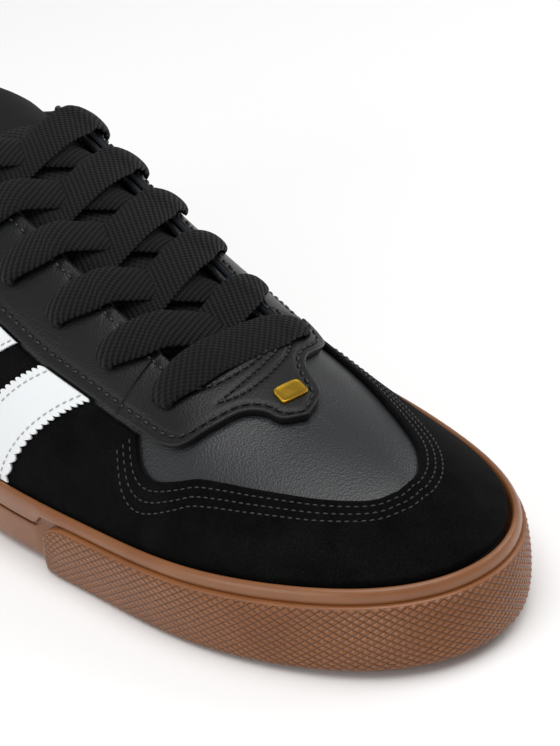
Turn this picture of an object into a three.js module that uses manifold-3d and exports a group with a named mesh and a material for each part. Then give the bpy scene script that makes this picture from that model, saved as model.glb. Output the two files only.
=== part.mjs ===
// Low skateboarding shoe for the right foot, built as separate parts around one last.
// Millimetres, +Z up, toe towards +Y, outer side of the foot towards +X.
import * as THREE from 'three';
import { mergeVertices } from 'three/addons/utils/BufferGeometryUtils.js';
import Module from 'manifold-3d';

const wasm = await Module();
wasm.setup();

// Last and cupsole
const LENGTH = 301;
const BALL_WIDTH = 111;
const RIDGE_HEIGHT = 118;
const RIM_HEIGHT = 31;
const COLLAR_HEIGHT = 82;
const TOE_SPRING = 3.6;
const ARCH_LIFT = 1.5;
const RIM_WIDTH = 4.4;
const HEEL_FLOOR = 14;
const TOE_FLOOR = 8;
const GROOVE_WIDTH = 3;
const GROOVE_DEPTH = 1.6;
const GROOVE_PITCH = 13;
const GROOVE_LENGTH = 60;
const GROOVES_IN_ROW = 5;
const HEEL_GROOVES_FROM = -126.5;
const BALL_GROOVES_FROM = 18;
const HEEL_FLARE = 0.3;

// Upper, tongue and insole
const WALL = 2;
const COLLAR_PADDING = 7;
const PADDING_DROP = 34;
const PADDING_ABOVE = 2;
const PADDING_FULL = 10;
const PADDING_FRONT = -57;
const PADDING_FADE = 26;
const THROAT_FRONT = 66;
const THROAT_BACK = -47;
const THROAT_HALF_FRONT = 16;
const THROAT_HALF_BACK = 19.5;
const THROAT_ROUND = 10;
const INSOLE_THICKNESS = 5;
const INSOLE_MARGIN = 1.4;
const TONGUE_THICKNESS = 6;
const TONGUE_TOP_THICKNESS = 8;
const TONGUE_FRONT = 78;
const TONGUE_BACK = -72;
const TONGUE_HALF_FRONT = 20;
const TONGUE_HALF_BACK = 22;
const TONGUE_TOP_HEIGHT = 94;
const TONGUE_LOW_HEIGHT = 83;
const TONGUE_CROWN = 12;
const TONGUE_FREE_BACK = -52;
const TONGUE_FREE_FRONT = -14;

// Overlays and trim
const SUEDE = 1.2;
const STAY = 1.9;
const BAND = 0.8;
const BUMPER_BACK = 37;
const BUMPER_END_ROUND = 13;
const BUMPER_END_INSET = 0.62;
const BUMPER_END_HIGH = 0.45;
const POCKET_LEAD = 4;
const WIDE_BAND = 18;
const NARROW_BAND = 9;
const BAND_GAP = 9.5;
const BAND_FRONT = 48;
const BAND_RAKE = 26;
const BAND_FOOT = 0.982;
const BADGE_LENGTH = 8;
const BADGE_WIDTH = 5.4;
const BADGE_THICKNESS = 1.2;
const BADGE_ACROSS = -2.6;
const BADGE_ALONG = 82.5;
const CUFF_DROP = 13;
const CUFF_BLEND = 12;
const COUNTER_FRONT = -72;

// Eyelets and lace
const EYELET_ROWS = 6;
const EYELET_FRONT = 61.5;
const EYELET_PITCH = 19.4;
const EYELET_OUTER_FRONT = 21.6;
const EYELET_OUTER_BACK = 29.2;
const EYELET_INNER_FRONT = 19;
const EYELET_INNER_BACK = 23;
const EYELET_HOLE = 4.6;
const PUNCH_LENGTH = 14;
const LACE_WIDTH = 11;
const LACE_THICKNESS = 2;
const LACE_RISE = 1.2;

// Clearance between neighbouring parts, and a wider one where a sheet follows a sharper bend
const GAP = 0.35;
const WIDE_GAP = 0.5;

const TOE_END = LENGTH / 2;
const HEEL_END = -LENGTH / 2;
const HEEL_CENTRE = HEEL_END + 0.45 * BALL_WIDTH;
const TOE_CENTRE = TOE_END - 0.35 * BALL_WIDTH;
const SUEDE_OUT = GAP + SUEDE;
const LAST_INSET = RIM_WIDTH + GAP + SUEDE_OUT;

// Control points of the sole's outline seen from above, from the middle of the heel round the outer
// side. across is a share of BALL_WIDTH and along a share of LENGTH from the heel.
const OUTLINE = [
  { across: 0.000, along: -0.030 },
  { across: 0.330, along: -0.012 },
  { across: 0.425, along: 0.095 },
  { across: 0.420, along: 0.260 },
  { across: 0.475, along: 0.410 },
  { across: 0.535, along: 0.530 },
  { across: 0.455, along: 0.700 },
  { across: 0.425, along: 0.838 },
  { across: 0.210, along: 0.998 },
  { across: -0.085, along: 1.037 },
  { across: -0.340, along: 0.967 },
  { across: -0.450, along: 0.805 },
  { across: -0.480, along: 0.623 },
  { across: -0.365, along: 0.480 },
  { across: -0.315, along: 0.300 },
  { across: -0.400, along: 0.110 },
  { across: -0.310, along: -0.012 },
];

// Sections of the last, one for each tenth of the length from the heel. ridge is a share of
// RIDGE_HEIGHT, rim of RIM_HEIGHT and centre of BALL_WIDTH. crown, outer and inner are the exponents
// of the section's curve: a higher crown is flatter on top, and a side with a higher one is steeper.
const SECTIONS = [
  { ridge: 1.000, rim: 1.00, centre: 0.000, crown: 3.20, outer: 1.90, inner: 1.90 },
  { ridge: 0.965, rim: 0.95, centre: 0.000, crown: 3.20, outer: 1.90, inner: 1.90 },
  { ridge: 0.915, rim: 0.90, centre: 0.000, crown: 3.10, outer: 1.95, inner: 1.95 },
  { ridge: 0.850, rim: 0.83, centre: 0.000, crown: 3.00, outer: 1.95, inner: 1.90 },
  { ridge: 0.765, rim: 0.76, centre: 0.000, crown: 2.75, outer: 1.80, inner: 1.65 },
  { ridge: 0.680, rim: 0.69, centre: 0.000, crown: 2.45, outer: 1.55, inner: 1.25 },
  { ridge: 0.585, rim: 0.66, centre: 0.000, crown: 2.25, outer: 1.30, inner: 0.94 },
  { ridge: 0.483, rim: 0.66, centre: -0.010, crown: 2.15, outer: 1.14, inner: 0.84 },
  { ridge: 0.386, rim: 0.72, centre: -0.045, crown: 2.15, outer: 1.10, inner: 0.93 },
  { ridge: 0.339, rim: 0.81, centre: -0.085, crown: 2.15, outer: 1.10, inner: 1.05 },
  { ridge: 0.271, rim: 0.87, centre: -0.122, crown: 2.20, outer: 1.10, inner: 1.10 },
];

// Height of the collar's top line as a share of COLLAR_HEIGHT, in equal steps from the heel to the
// top of the throat.
const TOP_LINE = [1.00, 0.985, 0.91, 0.835, 0.81, 0.835, 0.90, 0.965, 1.06];

// Profile of the cupsole's wall, from the tread up and over the rim. inset is a share of RIM_WIDTH
// in from the outline, and high a share of the wall's height there.
const SIDE_PROFILE = [
  { inset: 2.50, high: 0.00 },
  { inset: 1.60, high: 0.05 },
  { inset: 1.05, high: 0.17 },
  { inset: 0.80, high: 0.32 },
  { inset: 0.72, high: 0.60 },
  { inset: 0.88, high: 0.63 },
  { inset: 0.66, high: 0.67 },
  { inset: 0.50, high: 0.84 },
  { inset: 0.56, high: 0.95 },
  { inset: 0.78, high: 1.00 },
  { inset: 0.94, high: 0.985 },
];

// The same wall where the toe bumper sits in it.
const SEAT_PROFILE = [
  { inset: 1.10, high: 0.00 },
  { inset: 1.00, high: 0.03 },
  { inset: 0.98, high: 0.20 },
  { inset: 0.98, high: 0.40 },
  { inset: 0.98, high: 0.60 },
  { inset: 0.98, high: 0.72 },
  { inset: 0.98, high: 0.825 },
  { inset: 0.42, high: 0.84 },
  { inset: 0.44, high: 0.94 },
  { inset: 0.74, high: 1.00 },
  { inset: 0.94, high: 0.985 },
];

// Profile of the toe bumper, closed, from the inner lower edge outwards and back.
const BUMPER_PROFILE = [
  { inset: 0.88, high: 0.02 },
  { inset: 0.50, high: 0.00 },
  { inset: 0.16, high: 0.14 },
  { inset: 0.00, high: 0.40 },
  { inset: 0.06, high: 0.64 },
  { inset: 0.26, high: 0.79 },
  { inset: 0.88, high: 0.80 },
];

// Lower edge of the suede round the leather window, from beside the eyestay to the toe tip, in
// equal steps, as a share of the way from the ridge down to the rim.
const WINDOW_START = 0.68;
const WINDOW = [
  { outer: 0.70, inner: 0.68 },
  { outer: 0.83, inner: 0.66 },
  { outer: 0.69, inner: 0.57 },
  { outer: 0.625, inner: 0.51 },
  { outer: 0.57, inner: 0.46 },
  { outer: 0.53, inner: 0.42 },
  { outer: 0.475, inner: 0.37 },
  { outer: 0.395, inner: 0.335 },
  { outer: 0.32, inner: 0.32 },
];

// Edges of the eyestay seen from above, from the top end to the tip of its front tab. across is a
// share of BALL_WIDTH, along a share of LENGTH, and throat is the matching place on the throat's
// edge as a share of the throat's length.
const STAY_OUTER = [
  { across: 0.297, along: -0.156, throat: 0.00 },
  { across: 0.318, along: -0.073, throat: 0.22 },
  { across: 0.321, along: 0.013, throat: 0.45 },
  { across: 0.311, along: 0.077, throat: 0.61 },
  { across: 0.284, along: 0.140, throat: 0.77 },
  { across: 0.258, along: 0.199, throat: 0.89 },
  { across: 0.243, along: 0.229, throat: 0.945 },
  { across: 0.214, along: 0.246, throat: 0.965 },
  { across: 0.153, along: 0.2565, throat: 0.982 },
  { across: 0.090, along: 0.265, throat: 0.992 },
  { across: 0.054, along: 0.277, throat: 0.996 },
  { across: 0.034, along: 0.293, throat: 0.998 },
  { across: -0.018, along: 0.302, throat: 1.00 },
];
const STAY_INNER = [
  { across: -0.279, along: -0.156, throat: 0.00 },
  { across: -0.297, along: -0.073, throat: 0.22 },
  { across: -0.297, along: 0.013, throat: 0.45 },
  { across: -0.288, along: 0.077, throat: 0.61 },
  { across: -0.268, along: 0.140, throat: 0.77 },
  { across: -0.246, along: 0.199, throat: 0.89 },
  { across: -0.225, along: 0.217, throat: 0.945 },
  { across: -0.185, along: 0.229, throat: 0.965 },
  { across: -0.140, along: 0.2385, throat: 0.982 },
  { across: -0.112, along: 0.250, throat: 0.992 },
  { across: -0.097, along: 0.264, throat: 0.996 },
  { across: -0.078, along: 0.288, throat: 0.998 },
  { across: -0.018, along: 0.302, throat: 1.00 },
];

const mix = THREE.MathUtils.lerp;
const ease = (x, from, to) => THREE.MathUtils.smoothstep(x, from, to);
const span = (count) => Array.from({ length: count + 1 }, (_, i) => i / count);

// Uniform cubic B-spline through four neighbouring values.
function blendFour(a, b, c, d, t) {
  const s = 1 - t;
  const second = 3 * t ** 3 - 6 * t ** 2 + 4;
  const third = -3 * t ** 3 + 3 * t ** 2 + 3 * t + 1;
  return (s ** 3 * a + second * b + third * c + t ** 3 * d) / 6;
}

// Smooth value at share t of a list of equally spaced values.
function along(values, t) {
  const last = values.length - 1;
  const x = THREE.MathUtils.clamp(t, 0, 1) * last;
  const i = Math.min(Math.floor(x), last - 1);
  const before = i > 0 ? values[i - 1] : 2 * values[0] - values[1];
  const after = i + 2 <= last ? values[i + 2] : 2 * values[last] - values[last - 1];
  return blendFour(before, values[i], values[i + 1], after, x - i);
}

const column = (rows, name) => rows.map((row) => row[name]);
const RIDGE = column(SECTIONS, 'ridge');
const RIM = column(SECTIONS, 'rim');
const CENTRE = column(SECTIONS, 'centre');
const CROWN = column(SECTIONS, 'crown');
const STEEP = { outer: column(SECTIONS, 'outer'), inner: column(SECTIONS, 'inner') };
const station = (y) => (y - HEEL_END) / LENGTH;
const ridgeHeight = (y) => RIDGE_HEIGHT * along(RIDGE, station(y));
const rimHeight = (y) => RIM_HEIGHT * along(RIM, station(y));
const centreLine = (y) => BALL_WIDTH * along(CENTRE, station(y));
const floorHeight = (y) => mix(HEEL_FLOOR, TOE_FLOOR, ease(station(y), 0.2, 0.55)) + treadHeight(y);

// Height of the tread: flat at heel and ball, lifted under the arch and at the toe.
function treadHeight(y) {
  const s = station(y);
  const arch = ease(s, 0.30, 0.38) * (1 - ease(s, 0.46, 0.54));
  const toe = Math.max(0, (s - 0.70) / 0.30);
  return ARCH_LIFT * arch + TOE_SPRING * toe ** 2;
}

// The outline as a fine closed polygon, fitted to the named length and width.
const OUTLINE_STEPS = 900;
const outline = outlinePoints();

function outlinePoints() {
  const count = OUTLINE.length;
  const raw = [];
  for (let step = 0; step < OUTLINE_STEPS; step += 1) {
    const x = (step / OUTLINE_STEPS) * count;
    const i = Math.floor(x);
    const near = [-1, 0, 1, 2].map((k) => OUTLINE[(i + k + count) % count]);
    const value = (name) => blendFour(...near.map((row) => row[name]), x - i);
    raw.push(new THREE.Vector2(value('across'), value('along')));
  }
  const box = new THREE.Box2().setFromPoints(raw);
  const centre = box.getCenter(new THREE.Vector2());
  const size = box.getSize(new THREE.Vector2());
  const scale = new THREE.Vector2(BALL_WIDTH / size.x, LENGTH / size.y);
  return raw.map((point) => point.sub(centre).multiply(scale));
}

// The two sides of the outline, each from the heel to the toe tip, moved in by the inset.
const SIDES = ['outer', 'inner'];
const sideCurves = new Map();

function sideCurve(side, inset) {
  const rounded = Math.round(inset * 200) / 200;
  const key = `${side} ${rounded}`;
  if (!sideCurves.has(key)) {
    sideCurves.set(key, makeSideCurve(side, rounded));
  }
  return sideCurves.get(key);
}

function makeSideCurve(side, inset) {
  const count = outline.length;
  const ys = outline.map((point) => point.y);
  const heel = ys.indexOf(Math.min(...ys));
  const toe = ys.indexOf(Math.max(...ys));
  const turn = side === 'outer' ? 1 : -1;
  const steps = (turn * (toe - heel) + count) % count;
  const points = [];
  for (let k = 0; k <= steps; k += 1) {
    const i = (heel + turn * k + count) % count;
    const before = outline[(i + count - 1) % count];
    const after = outline[(i + 1) % count];
    const direction = after.clone().sub(before).normalize();
    const inwards = new THREE.Vector2(-direction.y, direction.x);
    points.push(outline[i].clone().addScaledVector(inwards, inset));
  }
  const reach = [0];
  for (let k = 1; k < points.length; k += 1) {
    reach.push(reach[k - 1] + points[k].distanceTo(points[k - 1]));
  }
  return { points, reach };
}

// Point of one side at share w of its length from the heel.
function edge(side, w, inset) {
  const { points, reach } = sideCurve(side, inset);
  const target = THREE.MathUtils.clamp(w, 0, 1) * reach[reach.length - 1];
  let low = 0;
  let high = reach.length - 1;
  while (high - low > 1) {
    const middle = (low + high) >> 1;
    if (reach[middle] <= target) {
      low = middle;
    } else {
      high = middle;
    }
  }
  const t = (target - reach[low]) / (reach[high] - reach[low]);
  return points[low].clone().lerp(points[high], t);
}

// Root of a function that is negative at low and positive at high.
function root(test, low, high) {
  let a = low;
  let b = high;
  for (let step = 0; step < 40; step += 1) {
    const middle = (a + b) / 2;
    if (test(middle) < 0) {
      a = middle;
    } else {
      b = middle;
    }
  }
  return (a + b) / 2;
}

const shareAt = (side, y, inset) => root((w) => edge(side, w, inset).y - y, 0, 1);

// Where the section at share w starts on the ridge of the last.
function ridgePoint(w) {
  const y = mix(HEEL_CENTRE, TOE_CENTRE, (1 - Math.cos(Math.PI * w)) / 2);
  return new THREE.Vector2(centreLine(y), y);
}

const ridgeShare = (y) => root((w) => ridgePoint(w).y - y, 0, 1);

// The outside of the upper at share w along a side and share r from the ridge down to the rim.
function upperPoint(side, w, r) {
  const top = ridgePoint(w);
  const foot = edge(side, w, LAST_INSET);
  const place = top.clone().lerp(foot, Math.min(r, 1));
  const s = station(top.y);
  const base = rimHeight(foot.y);
  const rise = (1 - Math.min(r, 1) ** along(CROWN, s)) ** (1 / along(STEEP[side], s));
  return new THREE.Vector3(place.x, place.y, base + (ridgeHeight(place.y) - base) * rise);
}

// The share w, share r and side of the upper above a place in plan.
function locate(x, y) {
  const side = x >= centreLine(y) ? 'outer' : 'inner';
  const turn = side === 'outer' ? -1 : 1;
  const test = (w) => {
    const top = ridgePoint(w);
    const foot = edge(side, w, LAST_INSET);
    return turn * ((foot.x - top.x) * (y - top.y) - (foot.y - top.y) * (x - top.x));
  };
  const w = root(test, 0, 1);
  const top = ridgePoint(w);
  const reach = edge(side, w, LAST_INSET).distanceTo(top);
  return { side, w, r: Math.hypot(x - top.x, y - top.y) / reach };
}

function overUpper(x, y) {
  const { side, w, r } = locate(x, y);
  return upperPoint(side, w, r);
}

// Half the width of the throat at a place along the shoe.
function throatHalf(y) {
  if (y < THROAT_BACK - 0.01) {
    return 0;
  }
  const t = ease(y, THROAT_BACK, THROAT_FRONT);
  const depth = THREE.MathUtils.clamp((THROAT_FRONT - y) / THROAT_ROUND, 0, 1);
  return mix(THROAT_HALF_BACK, THROAT_HALF_FRONT, t) * Math.sqrt(1 - (1 - depth) ** 2);
}

function topLine(y) {
  if (y > THROAT_BACK) {
    return Infinity;
  }
  return COLLAR_HEIGHT * along(TOP_LINE, (y - HEEL_END) / (THROAT_BACK - HEEL_END));
}

// Share r where the wall starts below the throat and the collar.
function openShare(side, w) {
  if (ridgePoint(w).y >= THROAT_FRONT - 0.01) {
    return 0;
  }
  const inside = (r) => {
    const point = upperPoint(side, w, r);
    const beside = Math.abs(point.x - centreLine(point.y)) - throatHalf(point.y);
    return Math.min(beside, topLine(point.y) - point.z);
  };
  return root(inside, 0, 1);
}

// Closed body from a sheet of points: each row is a list of { point, low, high }, where low and
// high are the offsets of its two faces along the sheet's own normal.
function shell(rows) {
  const wide = rows[0].length;
  const flat = rows.flat();
  const sheet = new THREE.BufferGeometry();
  const positions = flat.flatMap(({ point }) => point.toArray());
  const offsets = flat.flatMap(({ low, high }) => [low, high]);
  sheet.setAttribute('position', new THREE.Float32BufferAttribute(positions, 3));
  sheet.setAttribute('offset', new THREE.Float32BufferAttribute(offsets, 2));
  const faces = [];
  for (let i = 0; i + 1 < rows.length; i += 1) {
    for (let j = 0; j + 1 < wide; j += 1) {
      const a = i * wide + j;
      const b = a + wide;
      faces.push(a, a + 1, b, b, a + 1, b + 1);
    }
  }
  sheet.setIndex(faces);
  return thicken(mergeVertices(sheet, 0.002));
}

function thicken(sheet) {
  const index = [...sheet.index.array];
  const faces = [];
  for (let i = 0; i < index.length; i += 3) {
    const [a, b, c] = index.slice(i, i + 3);
    if (a !== b && b !== c && c !== a) {
      faces.push([a, b, c]);
    }
  }
  sheet.setIndex(faces.flat());
  sheet.computeVertexNormals();
  const { position, normal, offset } = sheet.attributes;
  const count = position.count;
  const layer = (pick) => Array.from({ length: count }, (_, i) => {
    const point = new THREE.Vector3().fromBufferAttribute(position, i);
    const away = new THREE.Vector3().fromBufferAttribute(normal, i);
    return point.addScaledVector(away, pick(i)).toArray();
  }).flat();
  const points = [...layer((i) => offset.getY(i)), ...layer((i) => offset.getX(i))];
  const used = new Set(faces.flatMap(([a, b, c]) => [`${a} ${b}`, `${b} ${c}`, `${c} ${a}`]));
  const triangles = [];
  for (const [a, b, c] of faces) {
    triangles.push(a, b, c, c + count, b + count, a + count);
    for (const [p, q] of [[a, b], [b, c], [c, a]]) {
      if (!used.has(`${q} ${p}`)) {
        triangles.push(q, p, p + count, q, p + count, q + count);
      }
    }
  }
  const body = new THREE.BufferGeometry();
  body.setAttribute('position', new THREE.Float32BufferAttribute(points, 3));
  body.setIndex(triangles);
  return body;
}

// Closed body from rings of points, each ring closed on itself, with flat ends.
function rings(rows) {
  const wide = rows[0].length;
  const triangles = [];
  for (let i = 0; i + 1 < rows.length; i += 1) {
    for (let j = 0; j < wide; j += 1) {
      const a = i * wide + j;
      const b = i * wide + ((j + 1) % wide);
      triangles.push(a, a + wide, b, a + wide, b + wide, b);
    }
  }
  const end = (rows.length - 1) * wide;
  for (let j = 1; j + 1 < wide; j += 1) {
    triangles.push(0, j, j + 1, end, end + j + 1, end + j);
  }
  const body = new THREE.BufferGeometry();
  const positions = rows.flat().flatMap((point) => point.toArray());
  body.setAttribute('position', new THREE.Float32BufferAttribute(positions, 3));
  body.setIndex(triangles);
  return body;
}

// Solid for cutting and joining, and the geometry back from it.
function solid(geometry) {
  const bare = geometry.clone();
  bare.deleteAttribute('normal');
  bare.deleteAttribute('uv');
  const merged = mergeVertices(bare, 0.0005);
  const vertProperties = new Float32Array(merged.attributes.position.array);
  const triVerts = new Uint32Array(merged.index.array);
  return new wasm.Manifold(new wasm.Mesh({ numProp: 3, vertProperties, triVerts }));
}

function geometryOf(body) {
  const mesh = body.getMesh();
  const geometry = new THREE.BufferGeometry();
  geometry.setAttribute('position', new THREE.Float32BufferAttribute(mesh.vertProperties, 3));
  geometry.setIndex([...mesh.triVerts]);
  return geometry;
}

// Cupsole: the tread, the floor of the cup and the wall with its rim, in one moulding.
const SOLE_COLUMNS = 34;

function soleShares(side) {
  const pocket = shareAt(side, BUMPER_BACK - WIDE_GAP, 0);
  const lead = shareAt(side, BUMPER_BACK - POCKET_LEAD, 0);
  const back = span(SOLE_COLUMNS / 2 - 1).map((t) => t * lead);
  const front = span(SOLE_COLUMNS / 2 - 1).map((t) => mix(pocket, 1, t));
  return [...back, ...front];
}

function solePoint(side, w, row) {
  const outer = edge(side, w, 0);
  const seat = ease(outer.y, BUMPER_BACK - POCKET_LEAD, BUMPER_BACK - 2 * GAP);
  const heel = 1 - ease(station(outer.y), 0.1, 0.34);
  const wall = mix(SIDE_PROFILE[row].inset, SEAT_PROFILE[row].inset, seat);
  const cup = row >= SIDE_PROFILE.length - 1;
  const inset = RIM_WIDTH * (cup ? wall : wall - HEEL_FLARE * heel);
  const place = edge(side, w, inset);
  const high = mix(SIDE_PROFILE[row].high, SEAT_PROFILE[row].high, seat);
  return new THREE.Vector3(place.x, place.y, mix(treadHeight(place.y), rimHeight(place.y), high));
}

function soleGeometry() {
  const rows = SIDE_PROFILE.length;
  const sides = SIDES.map((side) => soleShares(side).map((w) => {
    const profile = Array.from({ length: rows }, (_, row) => solePoint(side, w, row));
    const foot = profile[rows - 1];
    return [...profile, new THREE.Vector3(foot.x, foot.y, floorHeight(foot.y))];
  }));
  const ring = [...sides[0], ...sides[1].toReversed()];
  const wide = rows + 1;
  const triangles = [];
  for (let i = 0; i + 1 < ring.length; i += 1) {
    for (let j = 0; j + 1 < wide; j += 1) {
      const a = i * wide + j;
      const b = a + wide;
      triangles.push(a, b, a + 1, a + 1, b, b + 1);
    }
  }
  for (let i = 0; i + 1 < sides[0].length; i += 1) {
    const a = i * wide;
    const b = (ring.length - 1 - i) * wide;
    triangles.push(a, b, a + wide, a + wide, b, b - wide);
    const c = a + wide - 1;
    const d = b + wide - 1;
    triangles.push(c, c + wide, d, c + wide, d - wide, d);
  }
  const body = new THREE.BufferGeometry();
  const positions = ring.flat().flatMap((point) => point.toArray());
  body.setAttribute('position', new THREE.Float32BufferAttribute(positions, 3));
  body.setIndex(triangles);
  const merged = mergeVertices(body, 0.0005);
  const index = [...merged.index.array];
  const kept = [];
  for (let i = 0; i < index.length; i += 3) {
    const [a, b, c] = index.slice(i, i + 3);
    if (a !== b && b !== c && c !== a) {
      kept.push(a, b, c);
    }
  }
  merged.setIndex(kept);
  return merged;
}

// Tread grooves across the heel and the ball.
function treadGrooves() {
  const bodies = [];
  for (const from of [HEEL_GROOVES_FROM, BALL_GROOVES_FROM]) {
    for (let k = 0; k < GROOVES_IN_ROW; k += 1) {
      const y = from + k * GROOVE_PITCH;
      const groove = new THREE.BoxGeometry(GROOVE_LENGTH, GROOVE_WIDTH, 2 * GROOVE_DEPTH);
      groove.translate(centreLine(y), y, 0);
      bodies.push(solid(groove));
    }
  }
  return bodies;
}

function sole() {
  let body = solid(soleGeometry());
  for (const groove of treadGrooves()) {
    body = body.subtract(groove);
  }
  return geometryOf(body);
}

// Toe bumper: a thick textured band let into the cupsole's wall round the toe.
function bumper() {
  const ring = [];
  const count = 26;
  for (const side of SIDES) {
    const start = shareAt(side, BUMPER_BACK, 0);
    const near = [0, 0.006, 0.016, 0.03];
    const far = span(count - near.length).map((t) => mix(0.045, 1 - start, t));
    const shares = [...near, ...far].map((t) => start + t);
    const line = shares.map((w) => {
      const reach = edge(side, w, 0).y - BUMPER_BACK;
      const t = w > 0.9 ? 1 : THREE.MathUtils.clamp(reach / BUMPER_END_ROUND, 0, 1);
      const round = Math.sqrt(1 - (1 - t) ** 2);
      return BUMPER_PROFILE.map(({ inset, high }) => {
        const thin = mix(Math.max(inset, BUMPER_END_INSET), inset, Math.sqrt(round));
        const place = edge(side, w, RIM_WIDTH * thin);
        const tall = high * mix(BUMPER_END_HIGH, 1, round);
        const z = mix(treadHeight(place.y), rimHeight(place.y), tall);
        return new THREE.Vector3(place.x, place.y, z);
      });
    });
    ring.push(line);
  }
  const rows = [...ring[0], ...ring[1].toReversed().slice(1)];
  return rings(rows);
}

// Insole: a flat foam board on the floor of the cup, inside the upper.
function insole() {
  const inset = LAST_INSET + WALL + INSOLE_MARGIN;
  const count = 26;
  const layer = (lift) => {
    const sides = SIDES.map((side) => span(count).map((w) => {
      const place = edge(side, w, inset);
      return new THREE.Vector3(place.x, place.y, floorHeight(place.y) + lift);
    }));
    return [...sides[0], ...sides[1].toReversed().slice(1, -1)];
  };
  const bottom = layer(WIDE_GAP);
  const top = layer(WIDE_GAP + INSOLE_THICKNESS);
  const wide = bottom.length;
  const triangles = [];
  for (let i = 0; i < wide; i += 1) {
    const next = (i + 1) % wide;
    triangles.push(i, next, i + wide, i + wide, next, next + wide);
  }
  for (let i = 0; i < count; i += 1) {
    const a = i;
    const b = i + 1;
    const c = (wide - i) % wide;
    const d = wide - i - 1;
    if (c !== a) {
      triangles.push(a, c, b, a + wide, b + wide, c + wide);
    }
    if (d !== b) {
      triangles.push(b, c, d, b + wide, d + wide, c + wide);
    }
  }
  const body = new THREE.BufferGeometry();
  const positions = [...bottom, ...top].flatMap((point) => point.toArray());
  body.setAttribute('position', new THREE.Float32BufferAttribute(positions, 3));
  body.setIndex(triangles);
  return body;
}

// Upper: one hollow wall from the opening down into the cup, thicker round the collar.
const UPPER_BACK_COLUMNS = 18;
const UPPER_FRONT_COLUMNS = 12;
const UPPER_ROWS = 8;
const throatShare = ridgeShare(THROAT_FRONT);

function upperShares() {
  const back = span(UPPER_BACK_COLUMNS).map((t) => t ** 1.25 * throatShare);
  const front = span(UPPER_FRONT_COLUMNS).map((t) => mix(throatShare, 1, t));
  return [...back, ...front.slice(1)];
}

function paddedWall(point) {
  if (point.y > THROAT_BACK) {
    return WALL;
  }
  const depth = topLine(point.y) - point.z;
  const padding = ease(depth, -PADDING_ABOVE, PADDING_FULL) * (1 - ease(depth, 0.55 * PADDING_DROP, PADDING_DROP));
  const collar = 1 - ease(point.y, PADDING_FRONT - PADDING_FADE, PADDING_FRONT);
  return WALL + (COLLAR_PADDING - WALL) * padding * collar;
}

function marginPoint(side, w, lift) {
  const foot = edge(side, w, LAST_INSET);
  return new THREE.Vector3(foot.x, foot.y, floorHeight(foot.y) + lift);
}

// Rows lie closer together towards the rim, where the section bends most.
const lowered = (t) => 1 - (1 - t) ** 1.25;

function upperColumn(side, w) {
  const open = openShare(side, w);
  const cells = span(UPPER_ROWS).map((t) => {
    const point = upperPoint(side, w, mix(open, 1, lowered(t)));
    return { point, low: -paddedWall(point), high: 0 };
  });
  cells.push({ point: marginPoint(side, w, WIDE_GAP), low: -WALL, high: 0 });
  return cells;
}

function upper() {
  const columns = SIDES.map((side) => upperShares().map((w) => upperColumn(side, w)));
  const wall = shell([...columns[0], ...columns[1].toReversed()]);
  return geometryOf(punched(solid(wall)));
}

// Eyelet holes, square to the surface at each place.
const eyelets = eyeletPlaces();

function eyeletPlaces() {
  const places = [];
  for (let row = 0; row < EYELET_ROWS; row += 1) {
    const y = EYELET_FRONT - row * EYELET_PITCH;
    const share = Math.sin((Math.PI / 2) * (row / (EYELET_ROWS - 1)));
    const outer = mix(EYELET_OUTER_FRONT, EYELET_OUTER_BACK, share);
    const inner = mix(EYELET_INNER_FRONT, EYELET_INNER_BACK, share);
    for (const turn of [1, -1]) {
      const x = centreLine(y) + (turn > 0 ? outer : -inner);
      const point = overUpper(x, y);
      const across = overUpper(x + 1, y).sub(point);
      const forward = overUpper(x, y + 1).sub(point);
      places.push({ row, turn, point, normal: across.cross(forward).normalize() });
    }
  }
  return places;
}

function punched(body) {
  let rest = body;
  for (const { point, normal } of eyelets) {
    const punch = new THREE.CylinderGeometry(EYELET_HOLE / 2, EYELET_HOLE / 2, PUNCH_LENGTH, 8);
    const turn = new THREE.Quaternion().setFromUnitVectors(new THREE.Vector3(0, 1, 0), normal);
    punch.applyQuaternion(turn);
    punch.translate(point.x, point.y, point.z);
    rest = rest.subtract(solid(punch));
  }
  return rest;
}

// Eyestay: the leather facing round the throat, with a bridge and a tab in front.
const STAY_COLUMNS = 24;
const STAY_ROWS = 3;

function stayCurve(rows) {
  const points = rows.map((row) => new THREE.Vector3(row.across, row.along, row.throat));
  return new THREE.CatmullRomCurve3(points, false, 'catmullrom', 0.5);
}

const stayCurves = { outer: stayCurve(STAY_OUTER), inner: stayCurve(STAY_INNER) };

function stayPlan(side, t, v, grow) {
  const { x, y, z } = stayCurves[side].getPoint(t);
  const turn = side === 'outer' ? 1 : -1;
  const throatY = mix(THROAT_BACK, THROAT_FRONT, Math.min(z, 1));
  const inner = new THREE.Vector2(centreLine(throatY) + turn * throatHalf(throatY), throatY);
  const outer = new THREE.Vector2(x * BALL_WIDTH, y * LENGTH);
  const width = outer.distanceTo(inner);
  return inner.lerp(outer, v * (1 + grow / width));
}

function eyestay() {
  const columns = SIDES.map((side) => span(STAY_COLUMNS).map((t) => span(STAY_ROWS).map((v) => {
    const plan = stayPlan(side, t, v, 0);
    const point = overUpper(plan.x, plan.y);
    return { point, low: WIDE_GAP, high: WIDE_GAP + STAY };
  })));
  return geometryOf(punched(solid(shell([...columns[0], ...columns[1].toReversed()]))));
}

// Share r of the eyestay's outer edge at share w, for what ends against it.
function stayShare(side, w, clearance) {
  const line = span(60).map((t) => stayPlan(side, 0.55 * t, 1, clearance));
  const turn = side === 'outer' ? 1 : -1;
  const beside = (r) => {
    const point = upperPoint(side, w, r);
    let best = line[0];
    for (const place of line) {
      if (Math.abs(place.y - point.y) < Math.abs(best.y - point.y)) {
        best = place;
      }
    }
    return turn * (point.x - best.x);
  };
  return root(beside, 0.1, 1);
}

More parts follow.
